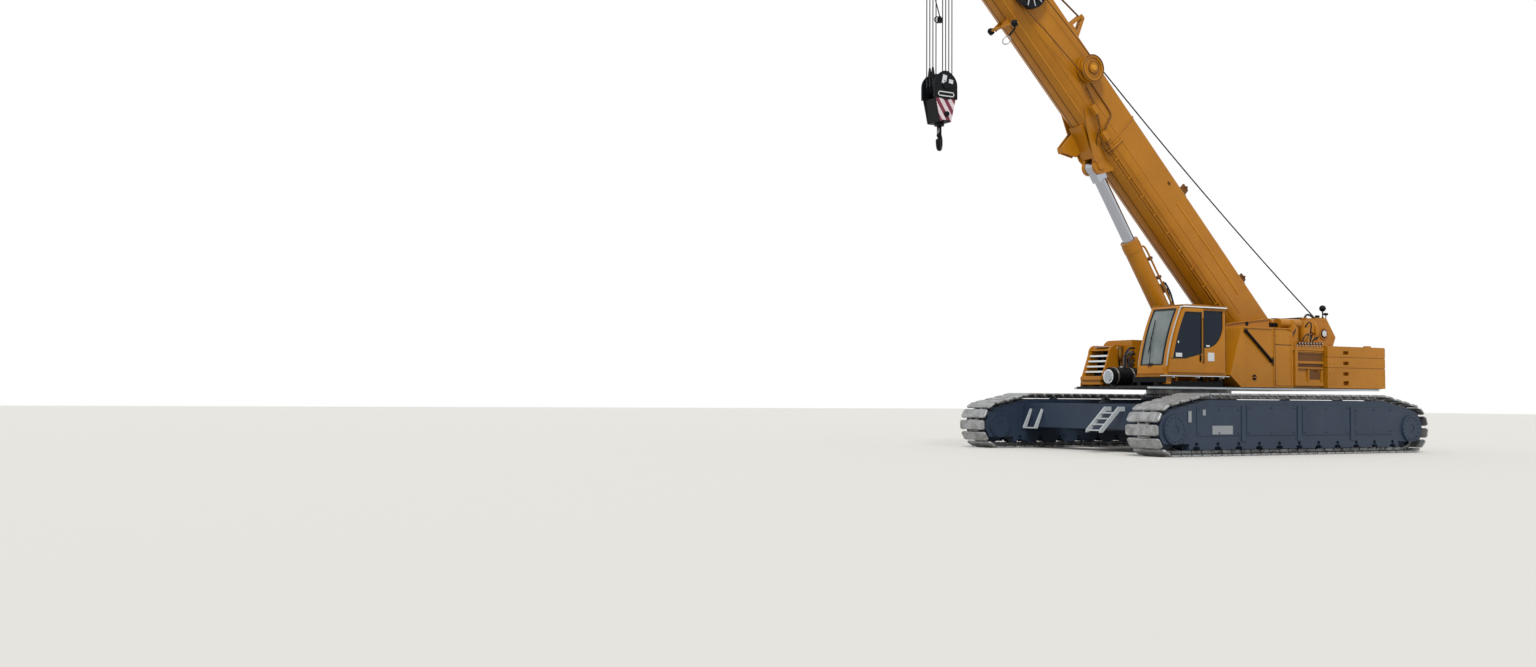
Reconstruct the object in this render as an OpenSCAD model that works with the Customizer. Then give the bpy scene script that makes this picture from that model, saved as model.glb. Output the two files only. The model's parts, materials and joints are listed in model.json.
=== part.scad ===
// Telescopic crawler crane, full size, in millimetres.
// X runs forward, Y to the left, Z up. Places are measured from the slewing axis at ground level,
// and every node is then moved back by frame_x, so that the origin is under the middle of the whole crane.

/* [Undercarriage] */
// Length of a crawler over its shoes
track_l = 8450; // [7800:50:9200]
// Height of a crawler over its shoes
track_h = 1300; // [1200:10:1400]
// Distance between the middles of the two crawlers
gauge = 5560; // [5300:20:5900]
// Width of a track shoe
shoe_w = 900; // [700:20:1000]
// Radius of a track's round ends
end_r = 550; // [480:10:600]
// Thickness of a shoe
shoe_t = 42; // [30:2:60]
// Pitch of the shoes along the track
shoe_pitch = 290; // [220:5:330]
// Height of the car body's top, under the slewing ring
car_top = 1225; // [1150:5:1250]
// Length of the car body's middle box
car_l = 3100; // [2600:50:3600]
// Width of the car body's middle box
car_w = 2700; // [2300:50:3000]

/* [Superstructure] */
// Height of the superstructure's underside
deck_z = 1400; // [1380:5:1440]
// Thickness of the superstructure's floor plates
deck_t = 60; // [40:5:80]
// Overall width of the superstructure
upper_w = 3200; // [3000:20:3300]
// Distance from the slewing axis back to the counterweight's rear face
tail_x = 4910; // [4600:10:5200]
// Distance from the slewing axis forward to the deck's front edge
nose_x = 2850; // [2600:10:3000]
// Distance from the slewing axis back to the boom's foot pin
pivot_back = 1950; // [1800:10:2100]
// Height of the boom's foot pin
pivot_z = 2900; // [2850:10:3000]
// Height of the counterweight's top
weight_top = 2450; // [2300:10:2600]
// Length of the counterweight
weight_l = 2050; // [1800:10:2200]
// Distance from the slewing axis back to the engine house's rear wall
house_back = 2100; // [1950:10:2200]
// Length of the engine house
house_l = 3300; // [3200:10:3400]
// Height of the engine house's roof
house_top = 2560; // [2500:10:2650]
// Radius of the engine house's rounded roof edge
house_r = 260; // [160:10:320]
// Thickness of the engine house's shell
house_t = 45; // [30:5:60]
// Distance from the slewing axis back to the left panel's rear edge
panel_back = 1670; // [1600:10:1720]
// Height of the left panel's top
panel_top = 2830; // [2780:10:2860]
// Thickness of the left panel's shell
panel_t = 40; // [25:5:60]
// Height of the front steps' sides over the deck
step_h = 980; // [940:10:1040]
// Radius of the exhaust pipe
exhaust_r = 60; // [45:5:75]
// Radius of the tank beside the front steps
tank_r = 210; // [170:10:230]
// Height of the hydraulic unit's lower body
unit_top = 2400; // [2360:10:2430]

/* [Boom] */
// Angle of the boom as it stands
boom_angle = 45.5; // [40:0.5:50]
// Length from the foot pin to the head sheaves' pin
boom_l = 12100; // [11900:10:12400]
// Width of the base section
boom_w = 900; // [860:5:940]
// Depth of the base section
boom_h = 1150; // [1100:5:1200]
// Distance from the foot pin down to the base section's belly
belly_n = 783; // [740:1:820]
// Thickness of a section's wall
wall = 12; // [9:1:14]
// How much narrower each telescopic section is than the one around it
step_w = 78; // [70:1:80]
// How far each section's collar stands out of the one around it
collar_step = 165; // [140:5:180]
// Length of a section's front collar
collar_l = 120; // [100:5:130]

/* [Luffing cylinder] */
// Place of the cylinder's foot pin behind the slewing axis
foot_back = 200; // [150:5:250]
// Height of the cylinder's foot pin
foot_z = 1640; // [1620:5:1660]
// Distance of the rod's lug along the boom from the foot pin
lug_s = 5895; // [5800:5:6000]
// Distance of the lug's pin below the belly
lug_drop = 222; // [218:1:230]
// Outer radius of the barrel
barrel_r = 205; // [180:1:210]
// Radius of the rod
rod_r = 135; // [110:1:140]
// Length of the barrel from the foot pin to its gland
barrel_l = 3760; // [3650:5:3800]

/* [Cab] */
// Place of the cab's rear wall ahead of the slewing axis
cab_rear = 450; // [430:5:500]
// Length of the cab's floor
cab_l = 1850; // [1800:10:1950]
// Length of the cab's roof
cab_roof_l = 1360; // [1300:10:1420]
// Width of the cab
cab_w = 900; // [840:5:960]
// Height of the cab's underside
cab_z = 1700; // [1680:5:1720]
// Height of the cab
cab_h = 1540; // [1480:5:1600]
// Thickness of the cab's walls
cab_t = 50; // [40:1:60]

/* [Hook] */
// Height of the hook block's middle as it hangs
block_z = 7560; // [7200:10:7900]
// Width across the hook block's cheeks, along the crane
block_w = 590; // [540:5:680]
// Radius of the sheaves in the head and in the hook block
sheave_r = 230; // [200:5:310]
// Number of rope falls on each side of the block
falls = 2; // [2:1:3]
// Radius of the hoist rope
rope_r = 11; // [9:1:13]

/* [Hidden] */
$fn = 48;
run = 0.08;
seat = 0.3;
clear = 8;
pivot_x = -pivot_back;
foot_x = -foot_back;
side_y = upper_w / 2;
deck_top = deck_z + deck_t;
cheek_y = boom_w / 2 + 30;
cheek_t = 70;
pin_r = 110;
mast_n = boom_h - belly_n;
bore_w = boom_w - 2 * wall;
base_end = boom_l - 1380;
head_n = -950;
section_back = 420;
belly_mid = boom_w / 2 - belly_n;
lug_n = -belly_n - lug_drop;
lug_pin_r = 85;
lug_gap = 120;
eye_r = 165;
boom_c = cos(boom_angle);
boom_s = sin(boom_angle);
lug_x = pivot_x + lug_s * boom_c - lug_n * boom_s;
lug_z = pivot_z + lug_s * boom_s + lug_n * boom_c;
cyl_l = norm([lug_x - foot_x, lug_z - foot_z]);
cyl_angle = atan2(lug_z - foot_z, lug_x - foot_x);
head_x = pivot_x + boom_l * boom_c - head_n * boom_s;
head_z = pivot_z + boom_l * boom_s + head_n * boom_c;
cab_y0 = side_y - cab_w;
head_eye_r = 280;
frame_x = (head_x + head_eye_r - tail_x) / 2;
rear_x = -tail_x + weight_l;
beam_top = weight_top - 330;
pocket_x = -3500;
hood_w = 720;
hood_y = -side_y + 30;
exhaust_y = hood_y + hood_w + 130;
tank_y = exhaust_y + 210;
tank_z = deck_top + tank_r + 20;
house_x = house_l - house_back;
step_top = deck_top + step_h;
unit_x = -panel_back - 50;
hood_front = 2020;

gold = [0.86, 0.55, 0.06];
slate = [0.22, 0.26, 0.32];
black = [0.08, 0.08, 0.09];
steel = [0.55, 0.55, 0.54];
silver = [0.78, 0.79, 0.80];
pale = [0.72, 0.74, 0.75];
glass = [0.12, 0.16, 0.18];

// A block between two corners.
module block(x0, x1, y0, y1, z0, z1) {
  translate([x0, y0, z0]) cube([x1 - x0, y1 - y0, z1 - z0]);
}

// An outline drawn in X and Z, as thick as from y0 to y1.
module slab(y0, y1) {
  translate([0, y1, 0]) rotate([90, 0, 0]) linear_extrude(y1 - y0) children();
}

// A round bar along Y.
module bar_y(x, z, r, y0, y1) {
  translate([x, y1, z]) rotate([90, 0, 0]) cylinder(r = r, h = y1 - y0);
}

// A round bar along X.
module bar_x(y, z, r, x0, x1) {
  translate([x0, y, z]) rotate([0, 90, 0]) cylinder(r = r, h = x1 - x0);
}

// The boom's own axes: X along the boom from its foot pin, Z square to it.
module on_boom() {
  translate([pivot_x, 0, pivot_z]) rotate([0, -boom_angle, 0]) children();
}

// The luffing cylinder's own axes: X from its foot pin to the lug on the boom.
module on_cylinder() {
  translate([foot_x, 0, foot_z]) rotate([0, -cyl_angle, 0]) children();
}

// Moves a finished node from the slewing axis to the crane's own origin.
module placed() {
  translate([-frame_x, 0, 0]) children();
}

// The belt around two end wheels and two top corners, as pieces of path:
// [length, x, z, start angle of the outward normal, radius].
top_r = 300;
end_x = track_l / 2 - end_r;
corner_x = end_x - 950;
span = [end_x - corner_x, end_r - (track_h - top_r)];
slope_a = atan2(span[1], span[0]) + acos((top_r - end_r) / norm(span));
slope_l = sqrt(pow(norm(span), 2) - pow(top_r - end_r, 2));
belt_parts = [
  [2 * end_x, -end_x, end_r, -90, 0, end_r],
  [end_r * (slope_a + 90) * PI / 180, end_x, end_r, -90, 1, end_r],
  [slope_l, end_x, end_r, slope_a, 0, end_r],
  [top_r * (90 - slope_a) * PI / 180, corner_x, track_h - top_r, slope_a, 1, top_r],
  [2 * corner_x, corner_x, track_h - top_r, 90, 0, top_r],
  [top_r * (90 - slope_a) * PI / 180, -corner_x, track_h - top_r, 90, 1, top_r],
  [slope_l, -corner_x, track_h - top_r, 180 - slope_a, 0, top_r],
  [end_r * (slope_a + 90) * PI / 180, -end_x, end_r, 180 - slope_a, 1, end_r]];

// Length of the belt's pieces before number i.
function belt_before(i) = i == 0 ? 0 : belt_before(i - 1) + belt_parts[i - 1][0];
belt_l = belt_before(8);

// Point of piece p at the distance d along it, moved outwards by off.
function belt_spot(p, d, off) =
  let (a = p[4] == 1 ? p[3] + d / p[5] * 180 / PI : p[3], r = p[5] + off, k = p[4] == 1 ? 0 : d)
  [p[1] + r * cos(a) - k * sin(a), p[2] + r * sin(a) + k * cos(a)];
function belt_find(d, i = 0) = i == 7 || d < belt_before(i + 1) ? i : belt_find(d, i + 1);
function belt_at(d, off) =
  let (m = d - floor(d / belt_l) * belt_l, i = belt_find(m)) belt_spot(belt_parts[i], m - belt_before(i), off);

shoes = round(belt_l / shoe_pitch);
shoe_step = belt_l / shoes;
shoe_gap = 62;
link_t = 80;
link_w = 340;

// Outline of the shoes: each is flat, with an open gap before the next.
module shoe_outline() {
  polygon([for (i = [0 : shoes - 1], q = [[0, -shoe_t], [0, 0], [shoe_step - shoe_gap, 0],
    [shoe_step - shoe_gap, -shoe_t]]) belt_at(i * shoe_step + q[0], q[1])]);
}

// Outline of the belt, moved in by off, with its arcs in short steps.
module belt_outline(off) {
  polygon([for (p = belt_parts, d = p[4] == 1 ? [0 : 1 / arc_steps : 0.95] : [0]) belt_spot(p, d * p[0], off)]);
}

module track(side) {
  y = side * gauge / 2;
  color(steel) placed() {
    slab(y - shoe_w / 2, y + shoe_w / 2) difference() {
      shoe_outline();
      belt_outline(-shoe_t - 22);
    }
    slab(y - link_w / 2, y + link_w / 2) difference() {
      belt_outline(-shoe_t - 10);
      belt_outline(-shoe_t - link_t);
    }
  }
}

arc_steps = 10;
wheel_r = (end_r - shoe_t - link_t) * cos((slope_a + 90) / 2 / arc_steps) - seat;
roller_r = 120;
roller_n = 11;
roller_z = shoe_t + link_t + seat + roller_r;
carrier_r = 80;
frame_y = shoe_w / 2 - 70;
guard_z = shoe_t + link_t + 18;

roller_xs = [for (i = [0 : roller_n - 1]) -end_x + 620 + i * (2 * end_x - 1240) / (roller_n - 1)];

// Drive wheel, idler, rollers and carriers of one crawler, which its frame carries by their axles.
module wheels(side) {
  y = side * gauge / 2;
  color(slate) placed() {
    for (x = [-end_x, end_x]) {
      bar_y(x, end_r, wheel_r, y - 90, y + 90);
      bar_y(x, end_r, wheel_r - 110, y - 170, y + 170);
      bar_y(x, end_r, 90, y - frame_y - 30, y + frame_y + 30);
    }
    for (x = roller_xs) {
      bar_y(x, roller_z, roller_r, y - 150, y + 150);
      bar_y(x, roller_z, 50, y - frame_y + 40, y + frame_y - 40);
    }
    for (x = [-1700, 0, 1700])
      bar_y(x, track_h - shoe_t - link_t - seat - carrier_r, carrier_r, y - 120, y + 120);
  }
}

// Outline of the track frame, inside the belt and above the rollers.
module frame_outline(in) {
  intersection() {
    belt_outline(-in);
    translate([-track_l / 2, roller_z + 20]) square([track_l, track_h]);
  }
}

module track_frame(side) {
  y = side * gauge / 2;
  inset = shoe_t + link_t + 15;
  color(slate) placed() difference() {
    union() {
      slab(y - frame_y, y + frame_y) frame_outline(inset);
      block(-end_x + 420, end_x - 420, y - frame_y, y + frame_y, guard_z, roller_z + 60);
      for (x = [-end_x, end_x], e = [-1, 1])
        bar_y(x, end_r, 300, e > 0 ? y + 180 : y - frame_y - 40, e > 0 ? y + frame_y + 40 : y - 180);
      for (x = [-1700, 0, 1700])
        block(x - 60, x + 60, y - frame_y - 20, y + frame_y + 20, roller_z + 60, track_h - 260);
    }
    block(-end_x, end_x, y - 165, y + 165, 0, roller_z + roller_r + 25);
    for (x = roller_xs) {
      bar_y(x, roller_z, 50 + run, y - frame_y - 60, y + frame_y + 60);
      slab(y - frame_y - 1, y + frame_y + 1) polygon([[x - 110, guard_z - 1], [x + 110, guard_z - 1],
        [x + 80, guard_z + 60], [x - 80, guard_z + 60]]);
    }
    for (x = [-end_x, end_x]) {
      slab(y - 180, y + 180) translate([x, end_r]) circle(wheel_r + 60);
      bar_y(x, end_r, 90 + run, y - frame_y - 60, y + frame_y + 60);
    }
    for (x = [-1700, 0, 1700])
      block(x - 150, x + 150, y - 130, y + 130, track_h - 360, track_h);
  }
}

// Place and length along the crane of the two hollow cross beams that carry the crawlers.
beam_x = 2600;
beam_l = 690;

// Car body: middle box, a ring seat on top, two cross beams and the boxes that join them.
module car_body() {
  arm_y = gauge / 2 - frame_y;
  color(slate) placed() {
    difference() {
      union() {
        slab(-car_w / 2, car_w / 2) polygon([[-car_l / 2, 520], [-car_l / 2 + 250, 420], [car_l / 2 - 250, 420],
          [car_l / 2, 520], [car_l / 2, 1080], [car_l / 2 - 120, 1160], [-car_l / 2 + 120, 1160], [-car_l / 2, 1080]]);
        translate([0, 0, 1000]) cylinder(r = 1080, h = car_top - 1000, $fn = 96);
        for (x = [-1, 1]) {
          block(x * beam_x - beam_l / 2, x * beam_x + beam_l / 2, -arm_y + seat, arm_y - seat, 500, 1060);
          block(min(x * 1400, x * 2300), max(x * 1400, x * 2300), -760, 760, 470, 960);
        }
      }
      translate([0, 0, 380]) cylinder(r = 480, h = 1000);
      for (x = [-beam_x, beam_x]) block(x - beam_l / 2 + 60, x + beam_l / 2 - 60, -arm_y - 1, arm_y + 1, 560, 1000);
    }
  }
}

// Access ladders and step frames on the cross beams, at the front and the rear.
module ladders() {
  x0 = beam_x + beam_l / 2 + seat;
  color(pale) placed() for (a = [0, 180]) rotate([0, 0, a]) {
    for (y = [550, 970]) slab(y, y + 30)
      polygon([[x0, 900], [x0, 1000], [3130, 1000], [3670, 500], [3670, 440], [3590, 440], [3090, 900]]);
    for (i = [0 : 3]) block(3130 + i * 135, 3250 + i * 135, 575, 975, 850 - i * 125, 880 - i * 125);
    for (y = [-2130, -1730]) slab(y, y + 30)
      polygon([[x0, 880], [x0, 930], [x0 + 40, 930], [3200, 510], [3200, 470], [3110, 470]]);
    block(3110, 3200, -2105, -1725, 470, 500);
  }
}

// Slewing ring: a fixed toothed race on the car body.
module slew_ring() {
  teeth = 72;
  color(steel) placed() difference() {
    union() {
      translate([0, 0, car_top]) cylinder(r = 960, h = deck_z - car_top - seat, $fn = 96);
      translate([0, 0, car_top + 20]) linear_extrude(60) for (i = [0 : teeth - 1]) rotate(i * 360 / teeth)
        polygon([[950, -24], [1000, -14], [1000, 14], [950, 24]]);
    }
    translate([0, 0, car_top - 1]) cylinder(r = 780, h = deck_z - car_top + 2, $fn = 96);
  }
}

beam_y = 400;

// Outline of the boom's carrying cheek, which slopes up to the round eye of the foot pin.
module cheek_outline() {
  difference() {
    union() {
      polygon([[rear_x + seat, deck_top - 1], [900, deck_top - 1], [900, 1700], [100, 2100], [-520, 2780],
        [pivot_x + 60, pivot_z + 228], [pivot_x - 120, pivot_z + 200], [pivot_x - 560, 2500],
        [rear_x + seat, 2400]]);
      translate([pivot_x, pivot_z]) circle(240);
    }
    translate([-1150, 2150]) circle(230);
  }
}

// Main frame: floor plates, two carrying cheeks, and the ears of the cylinder's foot.
module main_frame() {
  color(gold) placed() difference() {
    union() {
      slab(-side_y + 20, side_y - 20) polygon([[-tail_x + 60, deck_z + 60], [-tail_x + 60, deck_top],
        [nose_x, deck_top], [nose_x, deck_z], [-tail_x + 700, deck_z]]);
      for (e = [-1, 1]) slab(e > 0 ? cheek_y : -cheek_y - cheek_t, e > 0 ? cheek_y + cheek_t : -cheek_y)
        cheek_outline();
      for (e = [-1, 1]) slab(e > 0 ? 140 : -200, e > 0 ? 200 : -140) polygon([[foot_x - 420, deck_top - 1],
        [foot_x + 380, deck_top - 1], [foot_x + 190, foot_z + 120], [foot_x, foot_z + 190], [foot_x - 190, foot_z + 120]]);
      block(rear_x + seat, rear_x + 70, -cheek_y - 1, cheek_y + 1, deck_top - 1, 2380);
      block(-tail_x + 510, rear_x + 60, -beam_y, beam_y, deck_top - 1, beam_top);
    }
    bar_y(pivot_x, pivot_z, pin_r + run, -side_y, side_y);
    bar_y(foot_x, foot_z, 80 + run, -300, 300);
    block(foot_x - 260, foot_x + 420, -130, 130, deck_z - 1, deck_top + 1);
    block(foot_x + 385, foot_x + 900, -240, 240, deck_z - 1, deck_top + 1);
    translate([0, 0, deck_z - 1]) cylinder(r = 480, h = 20);
    block(hood_front, nose_x + 1, -side_y, cab_y0 - 60, deck_z - 1, deck_top + 1);
  }
}

// Side panel behind the cab, its front edge sloped to leave room for the tilting cab.
module left_panel() {
  color(gold) placed() difference() {
    slab(cheek_y + cheek_t + 300, side_y) polygon([[-panel_back, deck_top], [20, deck_top],
      [360, deck_top + 260], [0, panel_top - 40], [-50, panel_top], [370 - panel_back, panel_top],
      [-panel_back, panel_top - 110]]);
    slab(cheek_y + cheek_t + 300 + panel_t, side_y - panel_t) polygon([[panel_t - panel_back, deck_top - 1],
      [40 - panel_t, deck_top - 1], [350 - panel_t, deck_top + 270], [-panel_t, panel_top - 10 - panel_t],
      [380 - panel_back, panel_top - panel_t], [panel_t - panel_back, panel_top - 100 - panel_t]]);
  }
}

// Engine housing on the right, with a rounded roof and a row of air slots on its side.
module engine_house() {
  y1 = -cheek_y - cheek_t - 40;
  color(gold) placed() difference() {
    translate([-house_back, 0, 0]) rotate([90, 0, 90]) linear_extrude(house_l) union() {
      polygon([[-side_y, deck_top], [y1, deck_top], [y1, house_top], [-side_y + house_r, house_top],
        [-side_y, house_top - house_r]]);
      translate([-side_y + house_r, house_top - house_r]) circle(house_r);
    }
    translate([house_t - house_back, 0, 0]) rotate([90, 0, 90]) linear_extrude(house_l - 2 * house_t)
      polygon([[-side_y + house_t, deck_top - 1], [y1 - house_t, deck_top - 1], [y1 - house_t, house_top - house_t],
        [-side_y + house_r, house_top - house_t], [-side_y + house_t, house_top - house_r]]);
    for (i = [0 : 6]) block(400 - house_back, 1400 - house_back, -side_y - 1, -side_y + house_t + 1,
      deck_top + 260 + i * 75, deck_top + 300 + i * 75);
  }
}

// The diesel engine, as one plain block on the deck inside its housing.
module engine_block() {
  color(black) placed()
    block(400 - house_back, house_x - 1000, -side_y + 180, -cheek_y - cheek_t - 170, deck_top, house_top - 210);
}

// Steps at the front right, with a curved hood over them.
module front_steps() {
  y0 = hood_y;
  y1 = hood_y + hood_w;
  color(gold) placed() {
    for (y = [y0, y1 - 40]) slab(y, y + 40) difference() {
      union() {
        polygon([[house_x, deck_top], [house_x + 720, deck_top], [house_x + 700, deck_top + 180],
          [house_x + 460, step_top - 170], [house_x + 280, step_top], [house_x, step_top]]);
        translate([house_x + 280, step_top - 190]) circle(190);
      }
      translate([house_x + 90, deck_top + 440]) square([90, 300]);
    }
    block(house_x + 1, house_x + 40, y0, y1, deck_top, step_top - 10);
    slab(y0 + 39, y1 - 39) polygon([[house_x + 39, step_top - 70], [house_x + 300, step_top - 70],
      [house_x + 410, step_top - 140], [house_x + 425, step_top - 125], [house_x + 310, step_top - 45],
      [house_x + 39, step_top - 45]]);
  }
}

// Grated treads between the sides of the front steps.
module step_treads() {
  color(pale) placed() for (i = [0 : 5]) {
    x = house_x + 700 - i * 48;
    z = deck_top + 80 + i * 125;
    difference() {
      block(x - 150, x, hood_y + 40 + seat, hood_y + hood_w - 40 - seat, z, z + 40);
      for (j = [0 : 7]) block(x - 130, x - 30, hood_y + 75 + j * 73, hood_y + 125 + j * 73, z - 1, z + 41);
    }
  }
}

// Exhaust pipe with its elbow, beside the steps.
module exhaust() {
  color(steel) placed() {
    bar_x(exhaust_y, deck_top + 620, exhaust_r, house_x + seat, house_x + 100);
    translate([house_x + 100, exhaust_y, deck_top + 760]) rotate([90, 0, 0]) rotate([0, 0, -90])
      rotate_extrude(angle = 90) translate([140, 0]) circle(exhaust_r);
    translate([house_x + 240, exhaust_y, deck_top + 760]) cylinder(r = exhaust_r, h = 180);
  }
}

// Black round tank lying under the front of the deck between the cab and the steps.
module fuel_tank() {
  color(black) placed() {
    bar_x(tank_y, tank_z, tank_r, house_x + 10, house_x + 780);
    bar_x(tank_y, tank_z, tank_r - 30, house_x + 780, house_x + 820);
    for (x = [house_x + 80, house_x + 550]) block(x, x + 80, tank_y - 130, tank_y + 130, deck_top, deck_top + 100);
  }
}

// Hydraulic unit behind the left panel: tank, filters, cooler and the box that reaches over the counterweight.
module hydraulic_unit() {
  y0 = cheek_y + cheek_t + 60;
  y1 = side_y - 100;
  color(gold) placed() difference() {
    union() {
      block(rear_x + 40, unit_x, y0, y1, deck_top, unit_top - 70);
      block(rear_x + 40, unit_x + 20, y0 + 40, y1 + 40, unit_top - 70, unit_top);
      block(rear_x + 310, unit_x - 40, y0, y1 - 320, unit_top, unit_top + 460);
      for (y = [y0 + 130, y0 + 400]) bar_x(y, unit_top + 570, 125, rear_x + 300, unit_x - 130);
      for (x = [rear_x + 410, rear_x + 810]) translate([x, y1 - 210, unit_top]) cylinder(r = 110, h = 480);
      block(rear_x - 380, rear_x + 20, y0, y1 - 500, unit_top + 340, unit_top + 730);
      block(rear_x + 10, rear_x + 320, y0 + 60, y1 - 560, unit_top + 160, unit_top + 300);
      block(rear_x + 10, rear_x + 70, y0 + 60, y1 - 560, unit_top + 160, unit_top + 600);
      bar_y(rear_x - 180, unit_top + 530, 150, y1 - 501, y1 - 420);
    }
    // recess with a cover in the side
    block(rear_x + 220, rear_x + 610, y1 - 50, y1 + 1, deck_top + 280, deck_top + 420);
  }
}

// Room in the counterweight for the frame's tail beam and for the winch on it.
module weight_slot() {
  block(-tail_x + 510 - seat, rear_x + 1, -beam_y - seat, beam_y + seat, deck_top - 1, weight_top + 1);
  block(-tail_x + 300, rear_x + 1, -460, 460, beam_top, weight_top + 1);
}

// Counterweight: a base slab on the deck's tail.
module counterweight_base() {
  color(gold) placed() difference() {
    block(-tail_x, rear_x, -side_y, side_y, deck_top, deck_top + 240);
    weight_slot();
    for (e = [-1, 1]) block(pocket_x - 100, pocket_x + 100, e * side_y - 90, e * side_y + 90, deck_top + 70, deck_top + 170);
  }
}

// Counterweight: three more slabs, with open lifting pockets between them at the sides.
module counterweight_stack() {
  n = 3;
  z0 = deck_top + 240;
  h = (weight_top - z0) / n;
  color(gold) placed() difference() {
    union() for (i = [0 : n - 1]) {
      block(-tail_x, rear_x, -side_y, side_y, z0 + i * h, z0 + (i + 1) * h - 14);
      block(-tail_x + 14, rear_x - 14, -side_y + 14, side_y - 14, z0 + i * h, z0 + (i + 1) * h);
      for (e = [-1, 1]) block(-tail_x + 60, -tail_x + 200, e * 1200 - 60, e * 1200 + 60, weight_top - 1, weight_top + 50);
    }
    for (i = [0 : n - 1], e = [-1, 1])
      block(pocket_x - 100, pocket_x + 100, e * side_y - 90, e * side_y + 90, z0 + i * h + 60, z0 + i * h + 140);
    weight_slot();
  }
}

drum_x = -4180;
drum_z = 2820;
drum_w = 640;

// Winch frame: two side plates with cut corners on a foot plate, tied by two bars.
module winch_frame() {
  y = drum_w / 2 + 30;
  color(gold) placed() difference() {
    union() {
      for (e = [-1, 1]) slab(e > 0 ? y : -y - 60, e > 0 ? y + 60 : -y) difference() {
        polygon([[drum_x - 270, beam_top], [drum_x - 340, 2500], [drum_x - 450, 2740], [drum_x - 110, 3210],
          [drum_x + 330, 3210], [drum_x + 1130, 2750], [drum_x + 1130, beam_top]]);
        translate([drum_x + 700, 2560]) circle(170);
      }
      block(drum_x - 270, drum_x + 1130, -y - 60, y + 60, beam_top, beam_top + 40);
      for (p = [[-310, 2470], [480, 3050]]) bar_y(drum_x + p[0], p[1], 35, -y - 1, y + 1);
      for (e = [-1, 1]) bar_y(drum_x, drum_z, 150, e > 0 ? y + 59 : -y - 75, e > 0 ? y + 75 : -y - 59);
    }
    bar_y(drum_x, drum_z, 90 + run, -side_y, side_y);
  }
}

// Work lamp on a post, on the top edge of the winch frame's left plate.
module winch_lamp() {
  top = 3210;
  color(black) placed() translate([drum_x - 20, drum_w / 2 + 60, top + seat]) {
    cylinder(r = 28, h = 20);
    cylinder(r = 16, h = 180);
    translate([0, 0, 235]) sphere(r = 80);
  }
}

// Hoist drum: flanges and a core wound full of rope.
module hoist_drum() {
  y = drum_w / 2;
  color(steel) placed() {
    bar_y(drum_x, drum_z, 245, -y + 20, y - 20);
    for (e = [-1, 1]) bar_y(drum_x, drum_z, 300, e > 0 ? y - 20 : -y, e > 0 ? y : -y + 20);
    bar_y(drum_x, drum_z, 90, -y - 115, y + 115);
  }
}

// Pale walkways and edge strips along the deck over the crawlers.
module walkways() {
  color(pale) placed() {
    for (e = [-1, 1]) block(-tail_x + 300, e > 0 ? nose_x : hood_front, e > 0 ? side_y - 20 : -side_y - 60, e > 0 ? side_y + 60 : -side_y + 20,
      deck_z, deck_z + 40);
  }
}

tilt_x = cab_rear + 60;
tilt_z = cab_z - 60;
bumper_x = 2440;

// Console that carries the cab: a beam with a bumper and the two hinge ears at the rear.
module cab_console() {
  color(gold) placed() difference() {
    union() {
      block(cab_rear + 20, bumper_x, cab_y0 + 150, cab_y0 + 250, deck_top, 1570);
      block(cab_rear + 20, bumper_x, side_y - 250, side_y - 150, deck_top, 1570);
      block(bumper_x - 140, bumper_x, cab_y0 + 20, side_y - 20, 1540, 1650);
      block(cab_x1 - 200, bumper_x - 130, cab_y0 + 150, side_y - 150, 1540, 1640);
      for (y = [cab_y0 + 150, side_y - 250]) block(cab_x1 - 180, cab_x1 - 60, y, y + 100, 1639, cab_z - seat);
      for (y = [cab_y0 + 150, side_y - 250]) slab(y, y + 100) translate([tilt_x, tilt_z]) circle(52);
      for (y = [cab_y0 + 150, side_y - 250]) block(tilt_x - 75, tilt_x + 75, y, y + 100, deck_top, tilt_z);
    }
    bar_y(tilt_x, tilt_z, 30 + run, cab_y0, side_y);
  }
}

cab_x1 = cab_rear + cab_l;
cab_x2 = cab_rear + cab_roof_l;
cab_top = cab_z + cab_h;
nose_r = 4200;

// Middle of the windscreen's arc, which runs from the floor's front edge up to the roof's.
chord = [cab_x2 - cab_x1, cab_top - cab_z];
arc_in = sqrt(pow(nose_r, 2) - pow(norm(chord) / 2, 2)) / norm(chord);
nose_c = [(cab_x1 + cab_x2) / 2 - chord[1] * arc_in, (cab_z + cab_top) / 2 + chord[0] * arc_in];

// Side view of the cab: raked curved windscreen, flat roof and upright rear wall.
module cab_outline(in) {
  intersection() {
    translate([cab_rear + in, cab_z + in]) square([cab_l, cab_h - 2 * in]);
    translate(nose_c) circle(nose_r - in, $fn = 240);
  }
}

door_x = 1180;

// Outline of the door's window, grown by g: the rear post, a rising lower edge and the windscreen pillar.
module door_pane(g) {
  intersection() {
    cab_outline(130 - g);
    polygon([[door_x + 60 - g, 3090 + g], [cab_x1, 3090 + g], [cab_x1, 2070 - g],
      [door_x + 560, 2080 - g], [door_x + 60 - g, 2190 - g]]);
  }
}

// Outline of the window behind the door, grown by g, with its large curved lower rear corner.
module rear_pane(g) {
  r = 510;
  intersection() {
    translate([cab_rear + 80 - g, 2310 - g]) square([door_x - 50 - cab_rear - 80 + 2 * g, 830 + 2 * g]);
    union() {
      translate([cab_rear + 80 + r, 2310 + r]) circle(r + g);
      translate([cab_rear + 80 + r, 2310 - g]) square([r, 840 + g]);
      translate([cab_rear, 2310 + r]) square([2 * r, 340]);
    }
  }
}

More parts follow.
